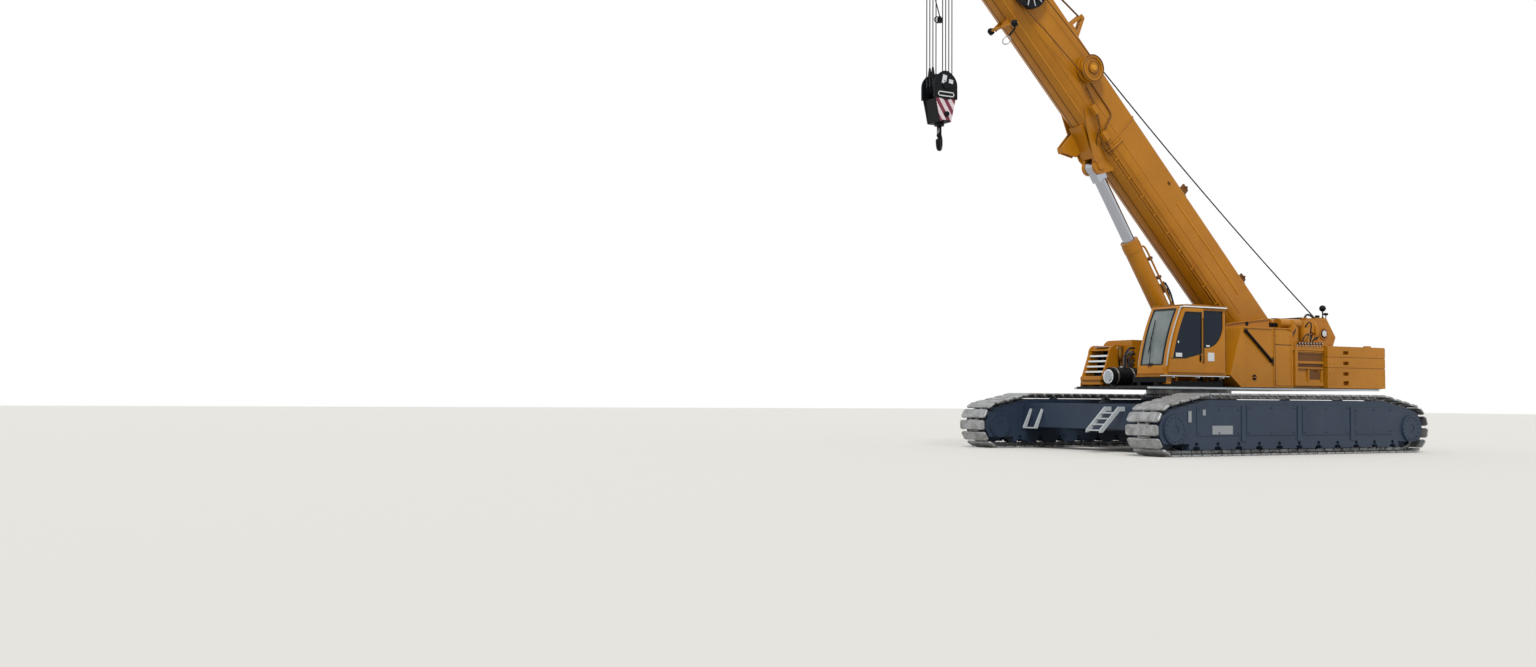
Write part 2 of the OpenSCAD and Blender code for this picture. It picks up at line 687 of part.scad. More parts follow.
module cab_floor() {
  color(gold) placed() {
    difference() {
      slab(cab_y0, side_y - 46) intersection() {
        cab_outline(0);
        translate([cab_rear, cab_z]) square([cab_l, 110]);
      }
    }
    difference() {
      for (y = [cab_y0 + 262, side_y - 362]) slab(y, y + 100) union() {
        translate([tilt_x, tilt_z]) circle(55);
        translate([tilt_x - 55, tilt_z]) square([110, 61]);
      }
      bar_y(tilt_x, tilt_z, 30 - 5, cab_y0, side_y);
    }
    block(cab_rear + 60, cab_x1 - 60, side_y - 47, door_y + 38, cab_z + 60, cab_z + 109);
    block(cab_rear + 60, cab_x1 - 60, side_y - 46, door_y + 38, cab_z + 60, cab_z + 120 - seat);
    bar_y(tilt_x, tilt_z, 30, cab_y0 + 140, side_y - 140);
  }
}

// Cab walls: right side, rear, the door side's frame and the two windscreen pillars, all with windows cut.
module cab_walls() {
  color(gold) placed() difference() {
    slab(cab_y0, side_y - 46) intersection() {
      cab_outline(0);
      translate([cab_rear, cab_z + 110]) square([cab_l, cab_h - 170]);
    }
    slab(cab_y0 + cab_t, side_y - 46 - cab_t) intersection() {
      cab_outline(cab_t);
      translate([cab_rear, cab_z + 100]) square([cab_l, cab_h]);
    }
    // windscreen
    slab(cab_y0 + 90, side_y - 136) intersection() {
      translate([cab_x2 - 200, cab_z + 230]) square([1200, cab_h - 310]);
      difference() {
        cab_outline(-10);
        cab_outline(cab_t + 5);
      }
    }
    // right window
    slab(cab_y0 - 1, cab_y0 + cab_t + 1) intersection() {
      cab_outline(130);
      translate([cab_rear + 130, cab_z + 480]) square([cab_l, cab_h]);
    }
    // door opening
    slab(side_y - 46 - cab_t - 1, side_y - 45) intersection() {
      cab_outline(90);
      translate([door_x + 20, cab_z + 150]) square([cab_l, cab_h]);
    }
    // rear side window
    slab(side_y - 46 - cab_t - 1, side_y - 45) rear_pane(0);
    // rear window
    block(cab_rear - 1, cab_rear + cab_t + 1, cab_y0 + 120, side_y - 170, cab_z + 620, cab_top - 160);
  }
}

module cab_roof() {
  color(gold) placed() {
    slab(cab_y0, side_y - 46) intersection() {
      cab_outline(0);
      translate([cab_rear, cab_top - 60]) square([cab_l, 60]);
    }
    block(cab_rear + 60, cab_x2 - 20, side_y - 47, door_y + 38, cab_top - 60 + seat, cab_top - 25);
  }
}

// Window panes, set in the middle of the walls.
module cab_glass() {
  m = side_y - 46 - cab_t / 2;
  color(glass) placed() {
    slab(cab_y0 + 90 + seat, side_y - 136 - seat) intersection() {
      translate([cab_x2 - 200, cab_z + 230 + seat]) square([1200, cab_h - 310 - 2 * seat]);
      translate(nose_c) difference() {
        circle(nose_r - 20, $fn = 240);
        circle(nose_r - 28, $fn = 240);
      }
    }
    slab(cab_y0 + cab_t / 2 - 4, cab_y0 + cab_t / 2 + 4) intersection() {
      cab_outline(130 + seat);
      translate([cab_rear + 130 + seat, cab_z + 480 + seat]) square([cab_l, cab_h]);
    }
    slab(m - 4, m + 4) rear_pane(-seat);
    block(cab_rear + cab_t / 2 - 4, cab_rear + cab_t / 2 + 4, cab_y0 + 120 + seat, side_y - 170 - seat,
      cab_z + 620 + seat, cab_top - 160 - seat);
  }
}

module operator_seat() {
  y = (cab_y0 + side_y - 46) / 2;
  color(black) placed() {
    block(cab_rear + 420, cab_rear + 820, y - 180, y + 180, cab_z + 110, cab_z + 400);
    block(cab_rear + 380, cab_rear + 900, y - 240, y + 240, cab_z + 400, cab_z + 520);
    slab(y - 230, y + 230) polygon([[cab_rear + 380, cab_z + 520], [cab_rear + 500, cab_z + 520],
      [cab_rear + 360, cab_z + 1180], [cab_rear + 260, cab_z + 1180]]);
  }
}

door_y = side_y - 46 + clear;

// Sliding door outside the cab's wall, hung under its rail.
module cab_door() {
  color(gold) placed() {
    difference() {
      slab(door_y, door_y + 38) intersection() {
        cab_outline(60);
        translate([door_x, cab_z + 120]) square([cab_l, cab_h]);
      }
      slab(door_y - 1, door_y + 39) door_pane(0);
    }
  }
}

module door_glass() {
  color(glass) placed() slab(door_y + 15, door_y + 23) door_pane(-seat);
}

module boom_foot_pin() {
  color(steel) placed() {
    bar_y(pivot_x, pivot_z, pin_r, -cheek_y - cheek_t - 30, cheek_y + cheek_t + 30);
    for (e = [-1, 1]) bar_y(pivot_x, pivot_z, pin_r + 30,
      e > 0 ? cheek_y + cheek_t + clear : -cheek_y - cheek_t - 40, e > 0 ? cheek_y + cheek_t + 40 : -cheek_y - cheek_t - clear);
  }
}

// Cross section of a boom section, in Y and Z: flat sides, a round belly and rounded top corners.
// w is its width, h its depth, and it hangs from the height top.
module boom_profile(w, h, top, corner) {
  r = w / 2;
  union() {
    translate([0, top - h + r]) circle(r, $fn = 72);
    translate([-r, top - h + r]) square([w, h - r - corner]);
    translate([-r + corner, top - corner - 1]) square([w - 2 * corner, corner + 1]);
    for (e = [-1, 1]) translate([e * (r - corner), top - corner]) circle(corner);
  }
}

// Width, depth and top of section k, where 0 is the base section.
function sect_w(k) = boom_w - k * step_w;
function sect_h(k) = boom_h - k * step_w;
function sect_top(k) = mast_n - k * step_w / 2;

// Extrudes a cross section along the boom.
module along_boom(s0, s1) {
  translate([s0, 0, 0]) rotate([90, 0, 90]) linear_extrude(s1 - s0) children();
}

module sect_profile(k, grow) {
  boom_profile(sect_w(k) + 2 * grow, sect_h(k) + 2 * grow, sect_top(k) + grow, 70);
}

// A telescopic section: tube, thicker front collar and wear pads that guide the next section.
module boom_section(k, s0, s1) {
  along_boom(s0, s1) difference() {
    sect_profile(k, 0);
    sect_profile(k, -wall);
  }
  along_boom(s1 - collar_l, s1) difference() {
    sect_profile(k, k == 0 ? 34 : 12);
    sect_profile(k, -wall);
  }
  if (k < 5) along_boom(s1 - collar_l + 10, s1 - 10) intersection() {
    difference() {
      sect_profile(k, -wall + 1);
      sect_profile(k + 1, seat);
    }
    union() {
      for (e = [-1, 1]) {
        translate([e * sect_w(k) / 4 - 60, sect_top(k) - 120]) square([120, 200]);
        translate([0, sect_top(k) - sect_h(k) + sect_w(k) / 2]) rotate(-90 + e * 45)
          translate([0, -60]) square([sect_w(k), 120]);
      }
    }
  }
}

module boom_base() {
  color(gold) placed() on_boom() difference() {
    union() {
      boom_section(0, -420, base_end);
      // bosses round the foot pin
      for (e = [-1, 1]) translate([0, e > 0 ? boom_w / 2 + 22 : -boom_w / 2 + 1, 0]) rotate([90, 0, 0])
        cylinder(r = 300, h = 23);
      // saddle and lug cheeks for the luffing cylinder
      for (e = [-1, 1]) difference() {
        translate([0, e > 0 ? lug_gap + 90 : -lug_gap, 0]) rotate([90, 0, 0]) linear_extrude(90) union() {
          polygon([[lug_s - 420, -belly_n + 200], [lug_s + 900, -belly_n + 200], [lug_s + 620, -belly_n + 20],
            [lug_s + 170, lug_n - 60], [lug_s - 170, lug_n - 60]]);
          translate([lug_s, lug_n]) circle(180);
        }
        along_boom(0, boom_l) sect_profile(0, -wall + 2);
      }
      for (e = [-1, 1]) translate([lug_s, e > 0 ? lug_gap + 120 : -lug_gap - 5, lug_n]) rotate([90, 0, 0])
        cylinder(r = lug_pin_r, h = 115);
      // plates that spread from the lug up to the sides of the boom, closed by a floor under the belly
      for (e = [-1, 1]) difference() {
        translate([lug_s, e * (lug_gap + 75), 0]) rotate([0, 0, e * 8.5]) translate([0, 15, 0]) rotate([90, 0, 0])
          linear_extrude(30) polygon([[-150, lug_n - 40], [260, lug_n - 60], [900, -belly_n - 40], [1450, -belly_n + 260],
            [1790, -80], [900, -belly_n + 330], [-60, -belly_n + 80]]);
        along_boom(0, boom_l) sect_profile(0, -wall + 2);
      }
      difference() {
        slab(-lug_gap - 80, lug_gap + 80) polygon([[lug_s + 245, lug_n - 20], [lug_s + 1000, -belly_n - 30],
          [lug_s + 1000, -belly_n + 60], [lug_s + 245, lug_n + 20]]);
        along_boom(0, boom_l) sect_profile(0, -wall + 2);
      }
      // arms and axles of the cable reel and the guide wheel
      translate([reel_s, boom_w / 2 + 175, reel_n]) rotate([90, 0, 0]) cylinder(r = 60, h = 176);
      translate([wheel_s, boom_w / 2 + 275, wheel_n]) rotate([90, 0, 0]) cylinder(r = 50, h = 276);
      for (p = [[reel_s, reel_n], [wheel_s, wheel_n]])
        translate([p[0], boom_w / 2 + 40, p[1]]) rotate([90, 0, 0]) cylinder(r = 130, h = 41);
      // open bracket under the belly, and the rope guide on the top edge
      difference() {
        union() {
          for (y = [-300, -160]) slab(y, y + 25) polygon([[lug_s + 430, -belly_n + 120], [lug_s + 900, -belly_n + 120],
            [lug_s + 860, bracket_n + 60], [lug_s + 760, bracket_n], [lug_s + 430, bracket_n + 230]]);
          slab(-300, -135) polygon([[lug_s + 740, bracket_n], [lug_s + 860, bracket_n + 60], [lug_s + 840, bracket_n + 100],
            [lug_s + 720, bracket_n + 40]]);
          for (y = [boom_w / 2 - 180, boom_w / 2 - 60]) slab(y, y + 30) difference() {
            polygon([[guide_s - 260, mast_n - 30], [guide_s + 120, mast_n - 30], [guide_s + 60, mast_n + guide_h],
              [guide_s - 60, mast_n + guide_h]]);
            polygon([[guide_s - 160, mast_n + 50], [guide_s + 40, mast_n + 50], [guide_s + 5, mast_n + guide_h - 110],
              [guide_s - 40, mast_n + guide_h - 110]]);
          }
          translate([guide_s, boom_w / 2 - 20, mast_n + guide_h - 45]) rotate([90, 0, 0]) cylinder(r = 45, h = 170);
        }
        along_boom(0, boom_l) sect_profile(0, -wall + 2);
      }
      // band round the base section where its two plates meet
      along_boom(lug_s + 270, lug_s + 300) difference() {
        sect_profile(0, 14);
        sect_profile(0, -wall);
      }
    }
    translate([0, boom_w, 0]) rotate([90, 0, 0]) cylinder(r = pin_r + run, h = 2 * boom_w);
  }
}

reel_s = base_end - 620;
reel_n = -150;
wheel_s = base_end - 2910;
wheel_n = -30;
guide_s = base_end - 2020;
guide_h = 430;
bracket_n = -belly_n - 590;

// Cable reel with spokes, on the left side of the base section.
module cable_reel() {
  color(black) placed() on_boom() translate([reel_s, boom_w / 2 + 60, reel_n]) rotate([-90, 0, 0]) {
    difference() {
      cylinder(r = 440, h = 110);
      translate([0, 0, -1]) cylinder(r = 60 + run, h = 200);
      for (i = [0 : 7]) rotate(i * 45 + 22.5) translate([250, 0, -1]) cylinder(r = 75, h = 200);
    }
  }
}

module guide_wheel() {
  color(gold) placed() on_boom() translate([wheel_s, boom_w / 2 + 60, wheel_n]) rotate([-90, 0, 0]) {
    difference() {
      union() {
        cylinder(r = 300, h = 45);
        cylinder(r = 235, h = 150);
        translate([0, 0, 145]) cylinder(r = 300, h = 45);
        cylinder(r = 110, h = 205);
      }
      translate([0, 0, -1]) cylinder(r = 50 + run, h = 220);
      translate([0, 0, 165]) difference() {
        cylinder(r = 235, h = 40);
        cylinder(r = 110, h = 50);
      }
    }
  }
}

module tele_section(k) {
  color(gold) placed() on_boom() boom_section(k, section_back + 60 * k, base_end + collar_step * k);
}

head_s0 = base_end + collar_step * 5;
top_s = boom_l - 60;
top_n = 110;
jib_pin_r = 35;
// Places of the holes that take a jib's pins, in the boom's axes.
jib_pins = [[boom_l - 390, 50], [boom_l + 120, -480]];

// Boom head: closing plate and two cheeks that carry the sheaves' pin.
module boom_head() {
  y = sect_w(5) / 2 + 12;
  color(gold) placed() on_boom() difference() {
    union() {
      along_boom(head_s0, head_s0 + 40) sect_profile(5, 12);
      for (e = [-1, 1]) translate([0, e > 0 ? y : -y + 40, 0]) rotate([90, 0, 0]) linear_extrude(40) union() {
        polygon([[head_s0 + 30, sect_top(5)], [boom_l + 60, sect_top(5)], [boom_l + 240, sect_top(5) - 300],
          [boom_l + head_eye_r, head_n], [boom_l - head_eye_r, head_n],
          [head_s0 + 30, sect_top(5) - sect_h(5) + 20]]);
        translate([boom_l, head_n]) circle(head_eye_r);
        translate([top_s, top_n]) circle(150);
      }
      translate([head_s0 + 250, y - 1, -400]) rotate([90, 0, 0]) cylinder(r = 60, h = 2 * y - 2);
    }
    translate([top_s, y + 1, top_n]) rotate([90, 0, 0]) cylinder(r = 40 + run, h = 2 * y + 2);
    for (p = jib_pins) translate([p[0], y + 1, p[1]]) rotate([90, 0, 0]) cylinder(r = jib_pin_r, h = 2 * y + 2);
    translate([boom_l, y + 1, head_n]) rotate([90, 0, 0]) cylinder(r = 60 + run, h = 2 * y + 2);
  }
}

sheave_n = 2 * falls;
sheave_t = 48;
// Room for the sheaves between the cheeks of the head.
sheave_room = sect_w(5) - 56;
sheave_pitch = min(110, (sheave_room - sheave_t - 2 * clear) / (sheave_n - 1));

// One rope sheave in the XZ plane, grooved, centred on its own axis.
module sheave(r) {
  rotate([90, 0, 0]) rotate_extrude($fn = 72) difference() {
    translate([30, -sheave_t / 2]) square([r - 30, sheave_t]);
    translate([r, 0]) circle(15, $fn = 24);
  }
}

module head_sheaves() {
  y = sect_w(5) / 2 + 12;
  color(steel) placed() translate([head_x, 0, head_z]) {
    translate([0, y + 20, 0]) rotate([90, 0, 0]) cylinder(r = 60, h = 2 * y + 40);
    for (i = [0 : sheave_n - 1]) translate([0, (i - (sheave_n - 1) / 2) * sheave_pitch, 0]) sheave(sheave_r - 20);
  }
}

// Sheaves on the top of the head, which lead the hoist rope over it.
module top_sheaves() {
  y = sect_w(5) / 2 + 12;
  color(steel) placed() on_boom() translate([top_s, 0, top_n]) {
    translate([0, y + 15, 0]) rotate([90, 0, 0]) cylinder(r = 40, h = 2 * y + 30);
    for (e = [-1, 0, 1]) translate([0, e * 110, 0]) sheave(230);
  }
}

block_x = head_x;
block_pin_z = block_z + 160;
block_low = block_z - 600;
// Inner face of the block's cheeks, and how thick the cheeks and the plates below them are.
block_y = (sheave_n - 1) / 2 * sheave_pitch + sheave_t / 2 + clear;
cheek_plate_t = 45;
weight_plate_t = 30;
// How far the cheeks reach below their pin, and the rounded top's radius and height above it.
block_skirt = 270;
cap_r = block_w / 2 - 90;
cap_z = 110;
hook_turn = 45;

// Rope falls between the head and the hook block.
module hoist_falls() {
  color(steel) placed() for (i = [0 : sheave_n - 1], e = [-1, 1])
    translate([block_x + e * (sheave_r - 20 - 3), (i - (sheave_n - 1) / 2) * sheave_pitch, block_pin_z])
      cylinder(r = rope_r, h = head_z - block_pin_z, $fn = 16);
}

// Outline of a cheek: two circles joined by their tangents, with straight sides below.
module block_cheek() {
  r = block_w / 2;
  a = acos((r - cap_r) / cap_z);
  circle(r);
  translate([0, cap_z]) circle(cap_r);
  polygon([for (p = [[-r, 0], [r, 0], [cap_r, cap_z], [-cap_r, cap_z]])
    [p[0] * sin(a), p[1] + abs(p[0]) * cos(a)]]);
}

// Hook block: cheeks with rounded tops, sheaves on their pin, and the tapered weight below.
module hook_block() {
  color(black) placed() translate([block_x, 0, 0]) {
    for (e = [-1, 1]) {
      slab(e > 0 ? block_y : -block_y - cheek_plate_t, e > 0 ? block_y + cheek_plate_t : -block_y)
        translate([0, block_pin_z]) union() {
          block_cheek();
          translate([-block_w / 2, -block_skirt]) square([block_w, block_skirt]);
        }
      slab(e > 0 ? block_y : -block_y - weight_plate_t, e > 0 ? block_y + weight_plate_t : -block_y)
        taper_plate(35);
    }
    slab(-block_y - 1, block_y + 1) intersection() {
      taper_plate(60);
      translate([-block_w, block_low]) square([2 * block_w, block_pin_z - block_skirt - block_low]);
    }
    bar_y(0, block_pin_z, 60, -block_y - 1, block_y + 1);
    for (i = [0 : sheave_n - 1]) translate([0, (i - (sheave_n - 1) / 2) * sheave_pitch, block_pin_z])
      sheave(sheave_r - 20);
  }
}

// Tapered plate below the cheeks, set in from their sides at the top.
module taper_plate(inset) {
  x = block_w / 2 - inset;
  polygon([[-140, block_low], [140, block_low], [x, block_pin_z - block_skirt + 30],
    [-x, block_pin_z - block_skirt + 30]]);
}

// Crane hook, a half ring with its shank and tip, which swivels under the block.
module load_hook() {
  z = block_low - 400;
  color(black) placed() {
    translate([block_x, 0, z + 120]) cylinder(r = 50, h = 400 - 120 - seat);
    translate([block_x, 0, block_low - seat - 60]) cylinder(r = 105, h = 60);
    translate([block_x, 0, z]) rotate([90, 0, hook_turn]) rotate([0, 0, 80]) rotate_extrude(angle = 290)
      translate([140, 0]) circle(52);
  }
}

module cylinder_foot_pin() {
  color(steel) placed() bar_y(foot_x, foot_z, 80, -215, 215);
}

// Barrel with its foot eye and its gland.
module cylinder_barrel() {
  color(gold) placed() on_cylinder() difference() {
    union() {
      translate([0, 130, 0]) rotate([90, 0, 0]) cylinder(r = 165, h = 260);
      slab(-130, 130) translate([0, -150]) square([430, 300]);
      translate([420, 0, 0]) rotate([0, 90, 0]) cylinder(r = barrel_r, h = barrel_l - 420);
      for (s = [440, barrel_l - 260]) translate([s, 0, 0]) rotate([0, 90, 0]) cylinder(r = barrel_r + 8, h = 160);
    }
    translate([0, 140, 0]) rotate([90, 0, 0]) cylinder(r = 80 + run, h = 280);
    translate([340, 0, 0]) rotate([0, 90, 0]) cylinder(r = barrel_r - 30, h = barrel_l - 340 - 120);
    translate([340, 0, 0]) rotate([0, 90, 0]) cylinder(r = rod_r + run, h = barrel_l);
  }
}

rod_len = 3800;
rod_in = cyl_l - rod_len;

// Piston ring, sealed inside the barrel round the rod's inner end.
module cylinder_piston() {
  color(steel) placed() on_cylinder() translate([rod_in + 20, 0, 0]) rotate([0, 90, 0]) difference() {
    cylinder(r = barrel_r - 30 - seat, h = 140);
    translate([0, 0, -1]) cylinder(r = rod_r + run, h = 142);
  }
}

// Rod with the eye that runs between the boom's lug cheeks.
module cylinder_rod() {
  color(silver) placed() on_cylinder() difference() {
    union() {
      translate([rod_in, 0, 0]) rotate([0, 90, 0]) cylinder(r = rod_r, h = rod_len - 330);
      slab(-lug_gap + clear, lug_gap - clear) translate([cyl_l - 340, -rod_r]) square([340, 2 * rod_r]);
      translate([cyl_l, lug_gap - clear, 0]) rotate([90, 0, 0]) cylinder(r = eye_r, h = 2 * (lug_gap - clear));
    }
    translate([cyl_l, lug_gap, 0]) rotate([90, 0, 0]) cylinder(r = lug_pin_r + 2, h = 2 * lug_gap);
  }
}

car_body();
ladders();
track_frame(1);  // track_frame_left
track_frame(-1);  // track_frame_right
track(1);  // track_left
track(-1);  // track_right
wheels(1);  // wheels_left
wheels(-1);  // wheels_right
slew_ring();
main_frame();
left_panel();
engine_house();
engine_block();
front_steps();
step_treads();
exhaust();
fuel_tank();
hydraulic_unit();
counterweight_base();
counterweight_stack();
winch_frame();
winch_lamp();
hoist_drum();
walkways();
cab_console();
cab_floor();
cab_walls();
cab_roof();
cab_glass();
operator_seat();
cab_door();
door_glass();
boom_foot_pin();
boom_base();
cable_reel();
guide_wheel();
tele_section(1);  // boom_section_1
tele_section(2);  // boom_section_2
tele_section(3);  // boom_section_3
tele_section(4);  // boom_section_4
tele_section(5);  // boom_section_5
boom_head();
head_sheaves();
top_sheaves();
hoist_falls();
hook_block();
load_hook();
cylinder_foot_pin();
cylinder_barrel();
cylinder_piston();
cylinder_rod();
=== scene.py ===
import json
import math

import bmesh
import bpy
from mathutils import Matrix, Vector


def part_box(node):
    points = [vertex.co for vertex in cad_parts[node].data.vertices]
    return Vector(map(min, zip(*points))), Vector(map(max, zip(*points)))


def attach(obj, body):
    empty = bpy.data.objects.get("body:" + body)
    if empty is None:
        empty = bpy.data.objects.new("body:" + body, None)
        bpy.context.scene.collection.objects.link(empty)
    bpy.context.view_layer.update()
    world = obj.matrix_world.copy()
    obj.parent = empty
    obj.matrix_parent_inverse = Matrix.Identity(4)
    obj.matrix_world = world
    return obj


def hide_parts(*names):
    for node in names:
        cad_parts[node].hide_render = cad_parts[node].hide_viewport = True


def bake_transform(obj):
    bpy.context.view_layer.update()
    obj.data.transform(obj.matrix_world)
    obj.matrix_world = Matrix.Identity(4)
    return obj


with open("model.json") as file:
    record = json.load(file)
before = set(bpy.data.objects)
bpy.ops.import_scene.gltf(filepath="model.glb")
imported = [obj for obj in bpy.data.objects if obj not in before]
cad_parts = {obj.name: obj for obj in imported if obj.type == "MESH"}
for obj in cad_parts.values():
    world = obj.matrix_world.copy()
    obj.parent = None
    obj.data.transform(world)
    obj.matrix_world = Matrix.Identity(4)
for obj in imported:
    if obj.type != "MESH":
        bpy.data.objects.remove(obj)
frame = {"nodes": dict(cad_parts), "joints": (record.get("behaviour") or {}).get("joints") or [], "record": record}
nodes = frame["nodes"]
joints = {joint["name"]: joint for joint in frame["joints"]}
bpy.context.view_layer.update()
print("crane loaded:", len(nodes), "parts")

# the crane's own measures, read from the joints so that the looks follow the parts
footPin = Vector(joints["boom_lower"]["pos_m"])
boomAxis = Vector(joints["telescope_1"]["axis"])
boomUp = Vector((-boomAxis.z, 0, boomAxis.x))
headPin = Vector(joints["plumb_lower"]["pos_m"])
topPin = Vector(joints["upper_sheaves_turn"]["pos_m"])
drumPin = Vector(joints["winch_turn"]["pos_m"])
slewX = joints["slewing"]["pos_m"][0]


def onBoom(along, side, up):
    # a place given along the boom from its foot pin, to the left, and square to the boom
    return footPin + boomAxis * along + boomUp * up + Vector((0, side, 0))


def onDeck(x, y, z):
    # a place measured from the slewing axis
    return Vector((x + slewX, y, z))


# materials


def srgb(text):
    values = [int(text[i:i + 2], 16) / 255 for i in (1, 3, 5)]
    return [v / 12.92 if v <= 0.04045 else ((v + 0.055) / 1.055) ** 2.4 for v in values] + [1.0]


def addNode(tree, kind, inputs=None, **settings):
    node = tree.nodes.new(kind)
    for name, value in settings.items():
        setattr(node, name, value)
    for key, value in (inputs or {}).items():
        if isinstance(value, bpy.types.NodeSocket):
            tree.links.new(value, node.inputs[key])
        else:
            node.inputs[key].default_value = value
    return node


def newMaterial(name):
    material = bpy.data.materials.new(name)
    material.use_nodes = True
    tree = material.node_tree
    tree.nodes.clear()
    out = addNode(tree, "ShaderNodeOutputMaterial")
    skin = addNode(tree, "ShaderNodeBsdfPrincipled")
    tree.links.new(skin.outputs[0], out.inputs[0])
    place = addNode(tree, "ShaderNodeTexCoord").outputs["Object"]
    return material, tree, skin, place


def rounded(tree, skin, edge, bump):
    # light caught on the edges, as on broken or rolled steel edges
    bevel = addNode(tree, "ShaderNodeBevel", {"Radius": edge, "Normal": bump}, samples=4)
    tree.links.new(bevel.outputs[0], skin.inputs["Normal"])


# widths of the enamel's patterns in metres; the orange peel of sprayed paint is finer on the real crane
enamel = {"clouds": 0.7, "streaks": 0.06, "streakLength": 1.1, "dust": 0.12, "peel": 0.025}


def paintedSteel(name, colour, dusty, faded, rough, edge=0.006, shine=0.3, dirt="#5f4a2c", under=None):
    # machine enamel sprayed on steel plate: an even colour, slightly faded in wide clouds,
    # with road dust lying on faces that look up and thin streaks running down the sides;
    # under is (height, colour) where the plate below that height takes that colour as painted shade
    material, tree, skin, place = newMaterial(name)
    clouds = addNode(tree, "ShaderNodeTexNoise", {
        "Vector": place, "Scale": 1 / enamel["clouds"], "Detail": 6.0, "Roughness": 0.6})
    tone = addNode(tree, "ShaderNodeMapRange", {
        "Value": clouds.outputs["Fac"], "From Min": 0.3, "From Max": 0.7})
    base = addNode(tree, "ShaderNodeMix", {
        "Factor": tone.outputs[0], "A": srgb(colour), "B": srgb(faded)}, data_type="RGBA")
    if under:
        height = addNode(tree, "ShaderNodeSeparateXYZ", {"Vector": place})
        below = addNode(tree, "ShaderNodeMath", {0: height.outputs["Z"], 1: under[0]}, operation="LESS_THAN")
        base = addNode(tree, "ShaderNodeMix", {
            "Factor": below.outputs[0], "A": base.outputs["Result"], "B": srgb(under[1])}, data_type="RGBA")
    narrow = 1 / enamel["streaks"]
    stretch = addNode(tree, "ShaderNodeMapping", {
        "Vector": place, "Scale": (narrow, narrow, 1 / enamel["streakLength"])})
    streaks = addNode(tree, "ShaderNodeTexNoise", {"Vector": stretch.outputs[0], "Scale": 1.0, "Detail": 4.0})
    thin = addNode(tree, "ShaderNodeMapRange", {
        "Value": streaks.outputs["Fac"], "From Min": 0.52, "From Max": 0.78, "To Max": 0.3 * dusty})
    facing = addNode(tree, "ShaderNodeNewGeometry")
    up = addNode(tree, "ShaderNodeSeparateXYZ", {"Vector": facing.outputs["Normal"]})
    lying = addNode(tree, "ShaderNodeMapRange", {
        "Value": up.outputs["Z"], "From Min": 0.5, "From Max": 1.0, "To Max": dusty})
    grains = addNode(tree, "ShaderNodeTexNoise", {
        "Vector": place, "Scale": 1 / enamel["dust"], "Detail": 8.0, "Roughness": 0.7})
    patchy = addNode(tree, "ShaderNodeMath", {0: lying.outputs[0], 1: grains.outputs["Fac"]},
                     operation="MULTIPLY")
    dust = addNode(tree, "ShaderNodeMath", {0: patchy.outputs[0], 1: thin.outputs[0]}, operation="MAXIMUM")
    worn = addNode(tree, "ShaderNodeMix", {
        "Factor": dust.outputs[0], "A": base.outputs["Result"], "B": srgb(dirt)}, data_type="RGBA")
    dull = addNode(tree, "ShaderNodeMapRange", {"Value": dust.outputs[0], "To Min": rough, "To Max": 0.85})
    tree.links.new(worn.outputs["Result"], skin.inputs["Base Color"])
    tree.links.new(dull.outputs[0], skin.inputs["Roughness"])
    skin.inputs["Specular IOR Level"].default_value = shine
    skin.inputs["IOR"].default_value = 1.5
    peel = addNode(tree, "ShaderNodeTexNoise", {"Vector": place, "Scale": 1 / enamel["peel"], "Detail": 2.0})
    bump = addNode(tree, "ShaderNodeBump", {"Height": peel.outputs["Fac"], "Strength": 0.05, "Distance": 0.002})
    rounded(tree, skin, edge, bump.outputs[0])
    return material


def bareSteel(name, colour, rough, spot, spotSize, spotAmount, edge=0.004):
    # rolled or cast steel left bare: metal with stains and rubbed places of the given size in metres
    material, tree, skin, place = newMaterial(name)
    stains = addNode(tree, "ShaderNodeTexNoise", {
        "Vector": place, "Scale": 1 / spotSize, "Detail": 7.0, "Roughness": 0.65})
    amount = addNode(tree, "ShaderNodeMapRange", {
        "Value": stains.outputs["Fac"], "From Min": 0.42, "From Max": 0.62, "To Max": spotAmount})
    mixed = addNode(tree, "ShaderNodeMix", {
        "Factor": amount.outputs[0], "A": srgb(colour), "B": srgb(spot)}, data_type="RGBA")
    bright = addNode(tree, "ShaderNodeMapRange", {"Value": amount.outputs[0], "To Min": 1.0, "To Max": 0.25})
    dull = addNode(tree, "ShaderNodeMapRange", {
        "Value": stains.outputs["Fac"], "To Min": rough - 0.1, "To Max": rough + 0.2})
    tree.links.new(mixed.outputs["Result"], skin.inputs["Base Color"])
    tree.links.new(bright.outputs[0], skin.inputs["Metallic"])
    tree.links.new(dull.outputs[0], skin.inputs["Roughness"])
    bump = addNode(tree, "ShaderNodeBump", {"Height": stains.outputs["Fac"], "Strength": 0.25, "Distance": 0.004})
    rounded(tree, skin, edge, bump.outputs[0])
    return material


def plainFinish(name, colour, rough, grain, metallic=0.0):
    # a small part's finish, such as moulded rubber or a plated fitting, with a fine grain of a size in metres
    material, tree, skin, place = newMaterial(name)
    skin.inputs["Base Color"].default_value = srgb(colour)
    skin.inputs["Metallic"].default_value = metallic
    fine = addNode(tree, "ShaderNodeTexNoise", {"Vector": place, "Scale": 1 / grain, "Detail": 4.0})
    dull = addNode(tree, "ShaderNodeMapRange", {
        "Value": fine.outputs["Fac"], "To Min": rough * 0.8, "To Max": rough * 1.3})
    tree.links.new(dull.outputs[0], skin.inputs["Roughness"])
    bump = addNode(tree, "ShaderNodeBump", {"Height": fine.outputs["Fac"], "Strength": 0.1, "Distance": 0.002})
    rounded(tree, skin, 0.003, bump.outputs[0])
    return material


